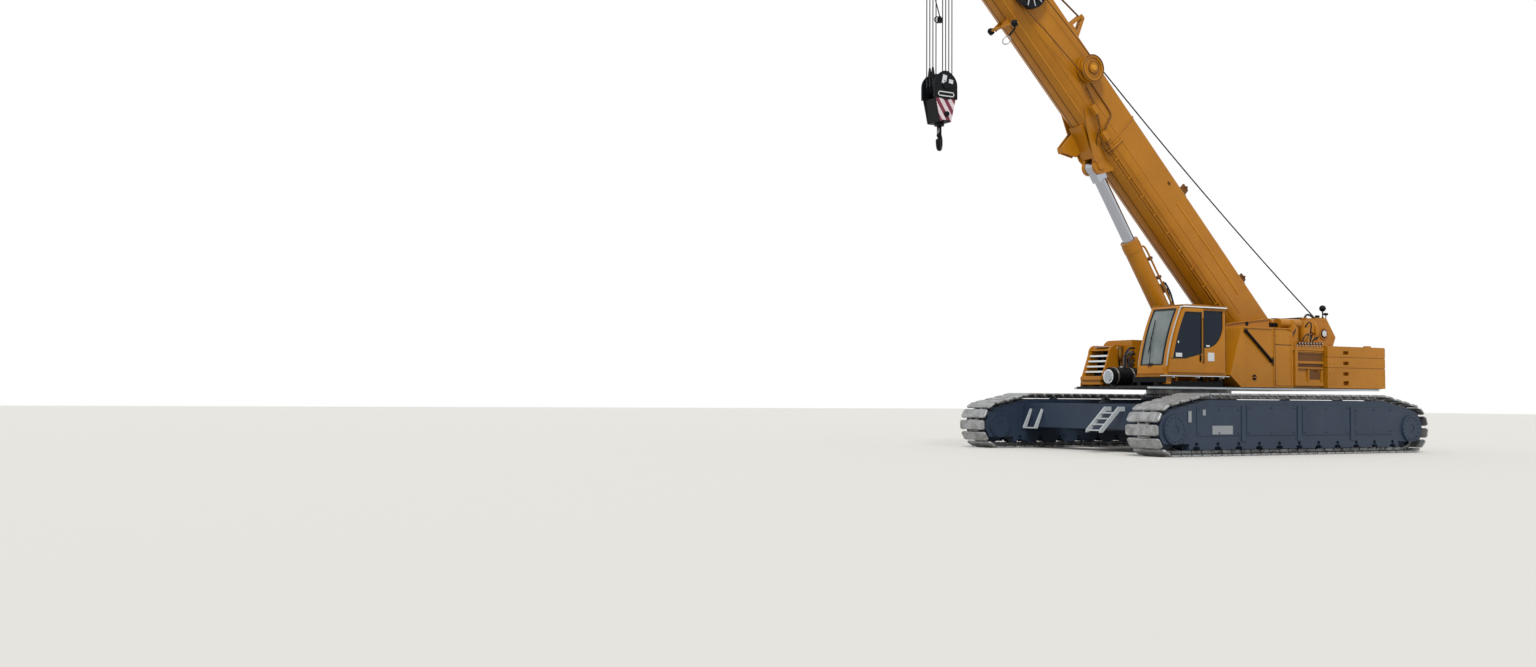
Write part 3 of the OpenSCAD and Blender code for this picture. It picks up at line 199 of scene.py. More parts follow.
def wovenCloth(name, colour, worn, thread):
    # hard-wearing seat cloth: a crossed weave of a thread in metres, paler where it is rubbed in patches
    material, tree, skin, place = newMaterial(name)
    pitch = thread * 6
    warp = addNode(tree, "ShaderNodeTexWave", {"Vector": place, "Scale": 1 / pitch}, bands_direction="Y")
    weft = addNode(tree, "ShaderNodeTexWave", {"Vector": place, "Scale": 1 / pitch}, bands_direction="DIAGONAL")
    crossed = addNode(tree, "ShaderNodeMath", {0: warp.outputs["Fac"], 1: weft.outputs["Fac"]},
                      operation="MULTIPLY")
    rubbed = addNode(tree, "ShaderNodeTexNoise", {"Vector": place, "Scale": 1 / 0.18, "Detail": 5.0})
    share = addNode(tree, "ShaderNodeMapRange", {
        "Value": rubbed.outputs["Fac"], "From Min": 0.4, "From Max": 0.75})
    tone = addNode(tree, "ShaderNodeMix", {
        "Factor": share.outputs[0], "A": srgb(colour), "B": srgb(worn)}, data_type="RGBA")
    tree.links.new(tone.outputs["Result"], skin.inputs["Base Color"])
    skin.inputs["Roughness"].default_value = 0.9
    skin.inputs["Sheen Weight"].default_value = 0.25
    bump = addNode(tree, "ShaderNodeBump", {"Height": crossed.outputs[0], "Strength": 0.3, "Distance": 0.001})
    tree.links.new(bump.outputs[0], skin.inputs["Normal"])
    return material


def wireRope(name):
    # lightly greased steel wire rope: the strands show as slanting bands, drawn coarser than real to show
    material, tree, skin, place = newMaterial(name)
    bands = 0.08
    lay = addNode(tree, "ShaderNodeTexWave", {
        "Vector": place, "Scale": 1 / bands, "Distortion": 0.0}, bands_direction="DIAGONAL")
    tone = addNode(tree, "ShaderNodeMix", {
        "Factor": lay.outputs["Fac"], "A": srgb("#17181a"), "B": srgb("#46484c")}, data_type="RGBA")
    tree.links.new(tone.outputs["Result"], skin.inputs["Base Color"])
    skin.inputs["Metallic"].default_value = 0.2
    skin.inputs["Roughness"].default_value = 0.6
    skin.inputs["Specular IOR Level"].default_value = 0.2
    return material


def cabGlass(name, frontX):
    # tinted laminated glass: a dark pane with sharp reflections, through which the seat shows faintly;
    # the windscreen, ahead of frontX, is paler in clouds, a painted reflection of the sky on its leaning pane
    material, tree, skin, place = newMaterial(name)
    skin.inputs["Roughness"].default_value = 0.03
    skin.inputs["Specular IOR Level"].default_value = 0.3
    axes = addNode(tree, "ShaderNodeSeparateXYZ", {"Vector": place})
    front = addNode(tree, "ShaderNodeMapRange", {
        "Value": axes.outputs["X"], "From Min": frontX - 0.02, "From Max": frontX + 0.02})
    clouds = addNode(tree, "ShaderNodeTexNoise", {"Vector": place, "Scale": 1 / 0.45, "Detail": 3.0})
    skyReflection = addNode(tree, "ShaderNodeMix", {
        "Factor": clouds.outputs["Fac"], "A": srgb("#59646a"), "B": srgb("#a3adaa")}, data_type="RGBA")
    pane = addNode(tree, "ShaderNodeMix", {
        "Factor": front.outputs[0], "A": srgb("#0d2032"), "B": skyReflection.outputs["Result"]}, data_type="RGBA")
    tree.links.new(pane.outputs["Result"], skin.inputs["Base Color"])
    clear = addNode(tree, "ShaderNodeBsdfTransparent", {"Color": srgb("#47525a")})
    edge = addNode(tree, "ShaderNodeFresnel", {"IOR": 1.5})
    share = addNode(tree, "ShaderNodeMapRange", {"Value": edge.outputs[0], "To Min": 0.62, "To Max": 1.0})
    both = addNode(tree, "ShaderNodeMixShader", {
        "Fac": share.outputs[0], 1: clear.outputs[0], 2: skin.outputs[0]})
    out = next(node for node in tree.nodes if node.type == "OUTPUT_MATERIAL")
    tree.links.new(both.outputs[0], out.inputs[0])
    return material


def warningStripes(name):
    # red and white warning bands painted aslant, each 108 mm wide along the plate
    material, tree, skin, place = newMaterial(name)
    slope, rise = 1.5, 0.162  # how steeply the bands lean, and the height of one band
    axes = addNode(tree, "ShaderNodeSeparateXYZ", {"Vector": place})
    lean = addNode(tree, "ShaderNodeMath", {0: axes.outputs["X"], 1: slope}, operation="MULTIPLY")
    across = addNode(tree, "ShaderNodeMath", {0: lean.outputs[0], 1: axes.outputs["Z"]}, operation="SUBTRACT")
    wave = addNode(tree, "ShaderNodeMath", {0: across.outputs[0], 1: rise}, operation="PINGPONG")
    band = addNode(tree, "ShaderNodeMath", {0: wave.outputs[0], 1: rise / 2}, operation="GREATER_THAN")
    grime = addNode(tree, "ShaderNodeTexNoise", {"Vector": place, "Scale": 1 / 0.05, "Detail": 5.0})
    white = addNode(tree, "ShaderNodeMix", {
        "Factor": grime.outputs["Fac"], "A": srgb("#e6d8da"), "B": srgb("#b9a9ad")}, data_type="RGBA")
    colour = addNode(tree, "ShaderNodeMix", {
        "Factor": band.outputs[0], "A": white.outputs["Result"], "B": srgb("#6d1a33")}, data_type="RGBA")
    tree.links.new(colour.outputs["Result"], skin.inputs["Base Color"])
    skin.inputs["Roughness"].default_value = 0.5
    return material


paint = {
    "gold": paintedSteel("boomEnamel", "#ad700c", 0.2, "#a1660a", 0.38),
    # the deck's frame turns near black below 1.468 m, painted shade in the space under the deck
    "deck": paintedSteel("deckEnamelShadedBelow", "#ad700c", 0.2, "#a1660a", 0.38, under=(1.468, "#0e0f11")),
    "slate": paintedSteel("undercarriageEnamel", "#232f41", 0.28, "#2a3748", 0.45, dirt="#575651"),
    # gold enamel made paler as a painted highlight, for lines and edges that catch the light
    "highlightGold": paintedSteel("highlightEnamel", "#c98a22", 0.1, "#bf821e", 0.4),
    "heated": bareSteel("heatTintedPipe", "#8a6228", 0.5, "#4a3316", 0.1, 0.6),
    "black": paintedSteel("blackEnamel", "#08090c", 0.06, "#0c0e12", 0.5, shine=0.15, dirt="#33302b"),
    "pale": paintedSteel("galvanisedWalkway", "#b3b8bb", 0.25, "#a2a7aa", 0.5, shine=0.5),
    "tread": paintedSteel("galvanisedTread", "#e3e5e6", 0.12, "#cfd2d3", 0.5, shine=0.5),
    "track": bareSteel("castTrackShoe", "#a6a8aa", 0.5, "#5b554d", 0.16, 0.6, edge=0.008),
    "steel": bareSteel("machinedSteel", "#8f9194", 0.35, "#5d4a38", 0.2, 0.35),
    "exhaust": bareSteel("exhaustPipe", "#a8a6a2", 0.4, "#5b4534", 0.12, 0.6),
    "chrome": plainFinish("chromedRod", "#aeb2bb", 0.14, 0.3, metallic=1.0),
    "rope": wireRope("wireRope"),
    "glass": cabGlass("cabGlass", slewX + 1.72),
    "doorGlass": cabGlass("doorGlass", slewX + 9.0),
    "rubber": plainFinish("mouldedRubber", "#0b0c0e", 0.65, 0.02),
    "seat": wovenCloth("seatCloth", "#1b1c1f", "#2b2d31", 0.0015),
    "stripes": warningStripes("warningBands"),
    "plate": plainFinish("blankPlate", "#c6c9c9", 0.4, 0.05),
    "dullPlate": plainFinish("blankDullPlate", "#83878a", 0.5, 0.05),
    "mirror": plainFinish("mirrorGlass", "#9aa0a4", 0.08, 0.4, metallic=0.8),
    "zinc": plainFinish("zincPlated", "#a8a9a6", 0.35, 0.01, metallic=0.9),
    # gold enamel darkened as painted shade, for gold parts that lie in shade
    "shadedGold": paintedSteel("shadedEnamel", "#6a4009", 0.3, "#5d3706", 0.5),
}
slotPaint = {
    "paint_gold": "gold", "paint_slate": "slate", "track_steel": "track", "bare_steel": "steel",
    "exhaust_steel": "exhaust", "pale_steel": "pale", "black_paint": "black", "rope_steel": "rope",
    "glass": "glass", "seat_fabric": "seat", "chrome_rod": "chrome",
}
nodePaint = {
    # cab_console takes the black enamel as painted shade, for the dark space under the cab
    "main_frame": "deck", "step_treads": "tread", "cab_console": "black", "door_glass": "doorGlass",
    "exhaust": "heated",
}
for row in frame["record"]["subparts"]:
    part = nodes[row["node"]]
    part.data.materials.clear()
    part.data.materials.append(paint[nodePaint.get(row["node"], slotPaint[row["material_slot"]])])
print("finishes made:", len(paint))

# making pieces


def finishPiece(mesh, name, body, finish, smooth=False):
    # one mesh, one body, one finish
    mesh.materials.clear()
    mesh.materials.append(paint[finish])
    if smooth:
        for face in mesh.polygons:
            face.use_smooth = True
        mesh.set_sharp_from_angle(angle=math.radians(35))
    piece = bpy.data.objects.new(name, mesh)
    bpy.context.scene.collection.objects.link(piece)
    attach(piece, body)
    return piece


def addBlock(shape, low, high, bevel=0.0, turn=None):
    low, high = Vector(low), Vector(high)
    corners = bmesh.ops.create_cube(shape, size=1.0)["verts"]
    stretch = Matrix.Diagonal((*(high - low), 1))
    bmesh.ops.transform(shape, verts=corners, matrix=Matrix.Translation((low + high) / 2) @ stretch)
    if bevel:
        edges = list({edge for vert in corners for edge in vert.link_edges})
        corners = bmesh.ops.bevel(shape, geom=edges, offset=bevel, segments=2, affect="EDGES")["verts"]
    if turn:
        bmesh.ops.transform(shape, verts=corners, matrix=turn)
    return corners


def addRod(shape, start, end, radius, sides=16, endRadius=None):
    start, end = Vector(start), Vector(end)
    axis = end - start
    place = Matrix.Translation((start + end) / 2) @ axis.to_track_quat("Z", "Y").to_matrix().to_4x4()
    return bmesh.ops.create_cone(shape, cap_ends=True, segments=sides, radius1=radius,
                                 radius2=radius if endRadius is None else endRadius,
                                 depth=axis.length, matrix=place)["verts"]


def addSheet(shape, outline, thick):
    # a flat plate from corner points in order, given its thickness along thick
    low = [shape.verts.new(Vector(point)) for point in outline]
    high = [shape.verts.new(Vector(point) + Vector(thick)) for point in outline]
    count = len(outline)
    faces = [shape.faces.new(low), shape.faces.new(list(reversed(high)))]
    for i in range(count):
        faces.append(shape.faces.new((low[(i + 1) % count], low[i], high[i], high[(i + 1) % count])))
    bmesh.ops.recalc_face_normals(shape, faces=faces)


def makePiece(name, body, finish, build, smooth=False):
    shape = bmesh.new()
    build(shape)
    mesh = bpy.data.meshes.new(name)
    shape.to_mesh(mesh)
    shape.free()
    return finishPiece(mesh, name, body, finish, smooth)


def circlePoints(radius, count, first=0.0):
    # places round a circle; first is the share of a step that the first place is turned by
    angles = [math.tau * (k + first) / count for k in range(count)]
    return [(radius * math.cos(a), radius * math.sin(a)) for a in angles]


def addBlocks(shape, rows, side=0.0):
    # blocks placed from the slewing axis: two opposite corners and the width of the bevel
    for (x0, y0, z0), (x1, y1, z1), *bevel in rows:
        addBlock(shape, onDeck(x0, side + y0, z0), onDeck(x1, side + y1, z1), *bevel)


def addRods(shape, rows, side=0.0):
    # rods placed from the slewing axis: two ends, radius, number of sides and the far end's radius
    for (x0, y0, z0), (x1, y1, z1), *sizes in rows:
        addRod(shape, onDeck(x0, side + y0, z0), onDeck(x1, side + y1, z1), *sizes)


def makeDeckPiece(name, body, finish, blocks=(), rods=(), side=0.0, smooth=False):
    # a piece of such blocks and rods; side is added to their places across the crane
    def build(shape):
        addBlocks(shape, blocks, side)
        addRods(shape, rods, side)
    return makePiece(name, body, finish, build, smooth)


def addPad(shape, middle, along, across, up, settings):
    # crowned cushion with rounded corners, sides that pull in between them and sewn channels on its upper face;
    # along, across and up are its half sizes as vectors
    made = []
    steps, corner, pull = settings["steps"], settings["corner"], settings["pull"]
    for axis in range(3):
        for end in (-1, 1):
            rows = []
            for i in range(steps + 1):
                row = []
                for j in range(steps + 1):
                    at = [0.0, 0.0, 0.0]
                    at[axis] = end
                    at[(axis + 1) % 3] = 2 * i / steps - 1
                    at[(axis + 2) % 3] = 2 * j / steps - 1
                    reach = sum(abs(value) ** corner for value in at) ** (1 / corner)
                    a, b, c = (value / reach for value in at)
                    dip = 0.0
                    if c > 0.3:
                        dip = sum(math.exp(-((b - line) / 0.07) ** 2) for line in settings["channels"])
                    c *= (1 - settings["crown"] * (a * a + b * b) / 2) - settings["dip"] * dip
                    a, b = a * (1 - pull * (1 - b * b)), b * (1 - pull * (1 - a * a))
                    row.append(shape.verts.new(middle + along * a + across * b + up * c))
                rows.append(row)
                made += row
            for i in range(steps):
                for j in range(steps):
                    corners = [rows[i][j], rows[i + 1][j], rows[i + 1][j + 1], rows[i][j + 1]]
                    shape.faces.new(corners if end > 0 else corners[::-1])
    bmesh.ops.remove_doubles(shape, verts=made, dist=1e-5)


def smoothPath(points, steps=8):
    # a rounded line through the given points
    points = [Vector(point) for point in points]
    whole = [points[0]] + points + [points[-1]]
    path = []
    for i in range(1, len(whole) - 2):
        a, b, c, d = whole[i - 1:i + 3]
        for k in range(steps):
            t = k / steps
            path.append(0.5 * (2 * b + (c - a) * t + (2 * a - 5 * b + 4 * c - d) * t * t
                               + (3 * b - a - 3 * c + d) * t ** 3))
    return path + [points[-1]]


def deckLines(routes):
    # rounded lines whose points are measured from the slewing axis
    return [smoothPath([onDeck(*point) for point in route]) for route in routes]


def startTree(name, sockets, result):
    # a Geometry Nodes tree with named inputs for its sizes, and the node that gives them
    tree = bpy.data.node_groups.new(name, "GeometryNodeTree")
    for title, kind in sockets + [("Finish", "Material")]:
        tree.interface.new_socket(title, in_out="INPUT", socket_type="NodeSocket" + kind)
    tree.interface.new_socket(result, in_out="OUTPUT", socket_type="NodeSocketGeometry")
    return tree, addNode(tree, "NodeGroupInput").outputs


def endTree(tree, given, geometry):
    real = addNode(tree, "GeometryNodeRealizeInstances", {"Geometry": geometry})
    addNode(tree, "NodeGroupOutput", {0: addNode(tree, "GeometryNodeSetMaterial", {
        "Geometry": real.outputs[0], "Material": given["Finish"]}).outputs[0]})
    return tree


def hoseTree():
    # a round hose or pipe swept along a line of points
    tree, given = startTree("hoseAlongPath", [("Path", "Geometry"), ("Radius", "Float"), ("Sides", "Int")], "Hose")
    line = addNode(tree, "GeometryNodeMeshToCurve", {"Mesh": given["Path"]})
    ring = addNode(tree, "GeometryNodeCurvePrimitiveCircle", {
        "Resolution": given["Sides"], "Radius": given["Radius"]})
    tube = addNode(tree, "GeometryNodeCurveToMesh", {
        "Curve": line.outputs[0], "Profile Curve": ring.outputs[0], "Fill Caps": True})
    soft = addNode(tree, "GeometryNodeSetShadeSmooth", {"Geometry": tube.outputs[0]})
    return endTree(tree, given, soft.outputs[0])


def boltTree():
    # hexagon bolt heads standing on points, each along the point's own direction and turned by chance
    tree, given = startTree("boltHeadsOnPoints", [
        ("Points", "Geometry"), ("Radius", "Float"), ("Height", "Float"), ("Sides", "Int"),
        ("Seed", "Int")], "Bolts")
    head = addNode(tree, "GeometryNodeMeshCylinder", {
        "Vertices": given["Sides"], "Radius": given["Radius"], "Depth": given["Height"]})
    way = addNode(tree, "GeometryNodeInputNamedAttribute", {"Name": "facing"}, data_type="FLOAT_VECTOR")
    turn = addNode(tree, "FunctionNodeAlignRotationToVector", {"Vector": way.outputs[0]}, axis="Z")
    spin = addNode(tree, "FunctionNodeRandomValue", {"Seed": given["Seed"], "Max": 1.0}, data_type="FLOAT")
    about = addNode(tree, "FunctionNodeAxisAngleToRotation", {"Angle": spin.outputs[1]})
    both = addNode(tree, "FunctionNodeRotateRotation", {
        "Rotation": turn.outputs[0], "Rotate By": about.outputs[0]}, rotation_space="LOCAL")
    placed = addNode(tree, "GeometryNodeInstanceOnPoints", {
        "Points": given["Points"], "Instance": head.outputs[0], "Rotation": both.outputs[0]})
    return endTree(tree, given, placed.outputs[0])


def shoeTree():
    # one track shoe set along the belt, turned by each point's own angle
    tree, given = startTree("shoesAlongBelt", [("Belt", "Geometry"), ("Shoe", "Object")], "Track")
    shoe = addNode(tree, "GeometryNodeObjectInfo", {"Object": given["Shoe"]})
    angle = addNode(tree, "GeometryNodeInputNamedAttribute", {"Name": "tilt"}, data_type="FLOAT")
    spin = addNode(tree, "ShaderNodeCombineXYZ", {"Y": angle.outputs[0]})
    turn = addNode(tree, "FunctionNodeEulerToRotation", {"Euler": spin.outputs[0]})
    placed = addNode(tree, "GeometryNodeInstanceOnPoints", {
        "Points": given["Belt"], "Instance": shoe.outputs["Geometry"], "Rotation": turn.outputs[0]})
    return endTree(tree, given, placed.outputs[0])


trees = {"hose": hoseTree(), "bolts": boltTree(), "shoes": shoeTree()}


def growWith(tree, start, name, body, finish, inputs):
    # runs a Geometry Nodes tree on a start mesh and keeps the plain mesh that it gives
    seedObject = bpy.data.objects.new(name + "Start", start)
    bpy.context.scene.collection.objects.link(seedObject)
    modifier = seedObject.modifiers.new("grow", "NODES")
    modifier.node_group = tree
    sockets = {item.name: item.identifier for item in tree.interface.items_tree if item.in_out == "INPUT"}
    for key, value in inputs.items():
        modifier[sockets[key]] = value
    modifier[sockets["Finish"]] = paint[finish]
    seedObject.update_tag()
    bpy.context.view_layer.update()
    result = seedObject.evaluated_get(bpy.context.evaluated_depsgraph_get())
    mesh = bpy.data.meshes.new_from_object(result)
    mesh.name = name
    seedObject.modifiers.remove(modifier)
    bpy.data.objects.remove(seedObject)
    piece = bpy.data.objects.new(name, mesh)
    bpy.context.scene.collection.objects.link(piece)
    if body:
        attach(piece, body)
    return piece


def makeHoses(name, body, finish, radius, paths, sides=12):
    start = bpy.data.meshes.new(name + "Paths")
    points, edges = [], []
    for path in paths:
        first = len(points)
        points += [tuple(point) for point in path]
        edges += [(i, i + 1) for i in range(first, len(points) - 1)]
    start.from_pydata(points, edges, [])
    return growWith(trees["hose"], start, name, body, finish, {"Radius": radius, "Sides": sides})


def makeBolts(name, body, finish, radius, height, spots, sides=6):
    # spots: (place, direction) of each bolt
    start = bpy.data.meshes.new(name + "Points")
    start.from_pydata([tuple(place) for place, way in spots], [], [])
    facing = start.attributes.new("facing", "FLOAT_VECTOR", "POINT")
    for i, (place, way) in enumerate(spots):
        facing.data[i].vector = Vector(way).normalized()
    return growWith(trees["bolts"], start, name, body, finish,
                    {"Radius": radius, "Height": height, "Sides": sides, "Seed": 7})


# crawlers: shoes, links and the frames' plates

crawler = {
    "pitch": 0.29,
    "firstShoe": 0.4,  # share of a pitch at which the first shoe lies
    "padLength": 0.222,
    "padDepth": 0.042,
    "padCorner": (0.03, 0.05),
    "padEdge": 0.012,
    "linkLength": 0.46,  # half length, as a share of the pitch
    "linkDepth": 0.122,
    "linkWidth": 0.05,
    "linkSpacing": 0.24,
    "shoeBolts": (0.06, 0.055, 0.016),
    "pin": {"half": 0.16, "deep": 0.085, "radius": 0.028},
    "endRadius": 0.55,
    "topRadius": 0.30,
    "slopeRun": 0.95,
}


def beltPath(low, high, settings):
    # the belt seen from the side: straight runs and arcs, as a list of (x, z, angle of the outward normal)
    endRadius, topRadius = settings["endRadius"], settings["topRadius"]
    middle = (low.x + high.x) / 2
    endX = (high.x - low.x) / 2 - endRadius
    cornerX = endX - settings["slopeRun"]
    rise = high.z - topRadius
    run, drop = endX - cornerX, endRadius - rise
    slope = math.atan2(drop, run) + math.acos((topRadius - endRadius) / math.hypot(run, drop))
    slopeLength = math.sqrt(run * run + drop * drop - (topRadius - endRadius) ** 2)
    quarter = math.pi / 2
    # each part: its length, where it starts, the normal there, whether it turns, and its radius
    parts = [
        (2 * endX, -endX, endRadius, -quarter, False, endRadius),
        (endRadius * (slope + quarter), endX, endRadius, -quarter, True, endRadius),
        (slopeLength, endX, endRadius, slope, False, endRadius),
        (topRadius * (quarter - slope), cornerX, rise, slope, True, topRadius),
        (2 * cornerX, cornerX, rise, quarter, False, topRadius),
        (topRadius * (quarter - slope), -cornerX, rise, quarter, True, topRadius),
        (slopeLength, -cornerX, rise, math.pi - slope, False, topRadius),
        (endRadius * (slope + quarter), -endX, endRadius, math.pi - slope, True, endRadius),
    ]
    total = sum(part[0] for part in parts)
    count = round(total / settings["pitch"])
    spots = []
    for i in range(count):
        along = (i + settings["firstShoe"]) * total / count
        for length, x, z, angle, turning, radius in parts:
            if along <= length:
                if turning:
                    angle += along / radius
                    along = 0
                spots.append((middle + x + radius * math.cos(angle) - along * math.sin(angle),
                              z + radius * math.sin(angle) + along * math.cos(angle), angle))
                break
            along -= length
    return spots, total / count


def drawShoe(shape, half, step, settings):
    # one shoe with its outer face down the local Z axis at 0: pad with cut corners, two links, bolts and pin
    long, deep = settings["padLength"] / 2, settings["padDepth"]
    cutX, cutY = settings["padCorner"]
    pad = [(-long, -half + cutY), (-long + cutX, -half), (long - cutX, -half), (long, -half + cutY),
           (long, half - cutY), (long - cutX, half), (-long + cutX, half), (-long, half - cutY)]
    addSheet(shape, [(x, y, -deep) for x, y in pad], (0, 0, deep))
    outer = [edge for edge in shape.edges if all(abs(vert.co.z) < 0.001 for vert in edge.verts)]
    bmesh.ops.bevel(shape, geom=outer, offset=settings["padEdge"], segments=1, affect="EDGES")
    reach, width = step * settings["linkLength"], settings["linkWidth"] / 2
    boltX, boltY, boltRadius = settings["shoeBolts"]
    for e in (-1, 1):
        y = e * settings["linkSpacing"] / 2
        addBlock(shape, (-reach, y - width, -settings["linkDepth"]), (reach, y + width, -deep + 0.004), 0.01)
        for x in (-boltX, boltX):
            for d in (-boltY, boltY):
                addRod(shape, (x, y + d, -deep - 0.02), (x, y + d, -deep + 0.002), boltRadius, 6)
    pin = settings["pin"]
    half, deep = pin["half"], pin["deep"]
    addRod(shape, (step / 2, -half, -deep), (step / 2, half, -deep), pin["radius"], 10)


def makeTrack(side, settings):
    node = "track_left" if side > 0 else "track_right"
    low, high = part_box(node)
    spots, step = beltPath(low, high, settings)
    shape = bmesh.new()
    drawShoe(shape, (high.y - low.y) / 2, step, settings)
    shoeMesh = bpy.data.meshes.new("trackShoe")
    shape.to_mesh(shoeMesh)
    shape.free()
    shoe = bpy.data.objects.new("trackShoe", shoeMesh)
    bpy.context.scene.collection.objects.link(shoe)
    start = bpy.data.meshes.new("beltPoints")
    middle = (low.y + high.y) / 2
    start.from_pydata([(x, middle, z) for x, z, angle in spots], [], [])
    tilt = start.attributes.new("tilt", "FLOAT", "POINT")
    for i, (x, z, angle) in enumerate(spots):
        tilt.data[i].value = math.pi / 2 - angle
    name = "shoesLeft" if side > 0 else "shoesRight"
    belt = growWith(trees["shoes"], start, name, "undercarriage", "track", {"Shoe": shoe})
    bpy.data.objects.remove(shoe)
    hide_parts(node)


for side in (1, -1):
    makeTrack(side, crawler)
print("crawlers fitted with shoes")

sideFrame = {
    # plates bolted to each face of the frames: from and to along the crane, from and to height
    "plates": [(-3.05, -1.78, 0.42, 1.02), (-1.60, -0.10, 0.42, 1.06), (0.10, 1.60, 0.42, 1.06),
               (1.78, 3.05, 0.42, 1.02)],
    "thick": 0.012,
    "lip": 0.04,  # how far the frame's widest edge stands out from its faces
    "blanks": [(2.61, 2.02, 0.45, 0.63), (3.29, 3.20, 0.70, 0.93), (2.88, 2.80, 0.84, 0.96)],
    "boltRadius": 0.016,
    "boltInset": (0.07, 0.06),
    "hub": {"fromEnd": 0.413, "z": 0.55, "circle": 0.25, "bolts": 16},
    "rail": {"half": 2.25, "width": 0.36, "strip": 0.12, "stripHalf": 0.05},
}


def dressSideFrames(settings):
    bolts = []
    thick = settings["thick"]
    insetX, insetZ = settings["boltInset"]
    hub, rail = settings["hub"], settings["rail"]
    for side in (1, -1):
        low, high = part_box("track_frame_left" if side > 0 else "track_frame_right")
        beltLow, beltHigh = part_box("track_left" if side > 0 else "track_right")
        name = "Left" if side > 0 else "Right"
        edges = (high.y - settings["lip"], low.y + settings["lip"])
        faces = (edges[0], 1), (edges[1], -1)
        if side < 0:
            faces = faces[::-1]
        middleX = (low.x + high.x) / 2
        middleY = (beltLow.y + beltHigh.y) / 2

        def plates(shape):
            for face, way in faces:
                for x0, x1, z0, z1 in settings["plates"]:
                    near, far = sorted((face - way * 0.004, face + way * thick))
                    addBlock(shape, (middleX + x0, near, z0), (middleX + x1, far, z1), 0.004)
        makePiece("framePlates" + name, "undercarriage", "slate", plates)

        def slideRail(shape):
            # the rail that the upper run of the track slides on, with its two wearing strips
            width, half = rail["width"] / 2, rail["half"]
            top = beltHigh.z - crawler["linkDepth"] - 0.012
            addBlock(shape, (middleX - half, middleY - width, high.z - 0.06),
                     (middleX + half, middleY + width, top - 0.02), 0.006)
            for e in (-1, 1):
                y = middleY + e * rail["strip"]
                addBlock(shape, (middleX - half + 0.05, y - rail["stripHalf"], top - 0.025),
                         (middleX + half - 0.05, y + rail["stripHalf"], top), 0.004)
        makePiece("slideRail" + name, "undercarriage", "slate", slideRail)
        for face, way in faces:
            for x0, x1, z0, z1 in settings["plates"]:
                for x in (x0 + insetX, (x0 + x1) / 2, x1 - insetX):
                    for z in (z0 + insetZ, z1 - insetZ):
                        bolts.append(((middleX + x, face + way * (thick + 0.006), z), (0, way, 0)))
            for e in (-1, 1):
                hubX = middleX + e * ((high.x - low.x) / 2 - hub["fromEnd"])
                bolts += [((hubX + dx, face + way * 0.046, hub["z"] + dz), (0, way, 0))
                          for dx, dz in circlePoints(hub["circle"], hub["bolts"])]
    makeBolts("frameBolts", "undercarriage", "slate", settings["boltRadius"], 0.02, bolts)
    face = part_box("track_frame_left")[1].y - settings["lip"] + thick
    blanks = [((x1, -0.002, z0), (x0, 0.004, z1), 0.001) for x0, x1, z0, z1 in settings["blanks"]]
    makeDeckPiece("frameBlankPlates", "undercarriage", "dullPlate", blanks, side=face)


dressSideFrames(sideFrame)

# boom: bend lines, pipes, lamps and brackets

boomLooks = {
    "bends": [(3, "gold"), (-24, "gold"), (-51, "highlightGold"), (-76, "shadedGold")],
    "bendRun": (0.75, 5.6, 10.55),
    "bendBead": 0.011,
    "half": 0.45,
    "middle": -0.333,
    "pipe": 0.019,
    "rib": 0.016,
    "clips": {"first": 1.35, "gap": 0.55, "count": 9, "from": -32, "to": -46, "length": 0.05},
    # the reel's cables down to the guide wheel: along the boom, out from its side, and up
    "cable": 0.012,
    "cables": [[(10.1, 0.115, -0.59), (9.0, 0.13, -0.42), (7.81, 0.135, -0.27)],
               [(9.72, 0.115, 0.07), (8.8, 0.13, 0.14), (7.81, 0.135, 0.205)]],
    "hose": 0.013,
    # hoses over the saddle: along the boom, out and up, then along, degrees round the belly and out
    "hoses": [([(7.80, 0.02, -0.13), (7.2, 0.02, -0.13), (6.68, 0.02, -0.15), (6.60, 0.02, -0.30),
                (6.54, 0.02, -0.50)],
               [(6.30, -38, 0.03), (5.95, -39, 0.03)]),
              ([(7.55, 0.03, -0.30), (7.06, 0.06, -0.44), (6.85, 0.08, -0.58)],
               [(6.55, -36, 0.10), (6.25, -50, 0.07), (5.90, -48, 0.03)]),
              ([(7.06, 0.05, -0.50), (6.72, 0.07, -0.62)],
               [(6.44, -54, 0.10), (6.2, -66, 0.09), (6.0, -72, 0.05)])],
    "boxes": [(7.03, -0.48, 0.0), (6.40, -0.62, -0.03)],
}


def bellyPoint(along, degrees, out, settings):
    # a place on the boom's round belly, out from its plate
    a = math.radians(degrees)
    reach = settings["half"] + out
    return onBoom(along, reach * math.cos(a), settings["middle"] + reach * math.sin(a))


def boomFrame(along, up):
    # matrix that turns a shape drawn along X, with Z up, to lie along the boom
    turn = Matrix((boomAxis, Vector((0, 1, 0)), boomUp)).transposed().to_4x4()
    return Matrix.Translation(onBoom(along, 0, up)) @ turn


def makeBendLines(settings):
    # beads where the plate of the belly is folded, along both sides of the base section; one bead is in the paler
    # gold as a painted highlight, the lowest in the darker gold as painted shade
    for degrees, finish in settings["bends"]:
        lines = [[bellyPoint(s, side, 0.0, settings) for s in settings["bendRun"]]
                 for side in (degrees, 180 - degrees)]
        makeHoses("boomBendLine" + str(abs(degrees)), "boom", finish, settings["bendBead"], lines, sides=8)


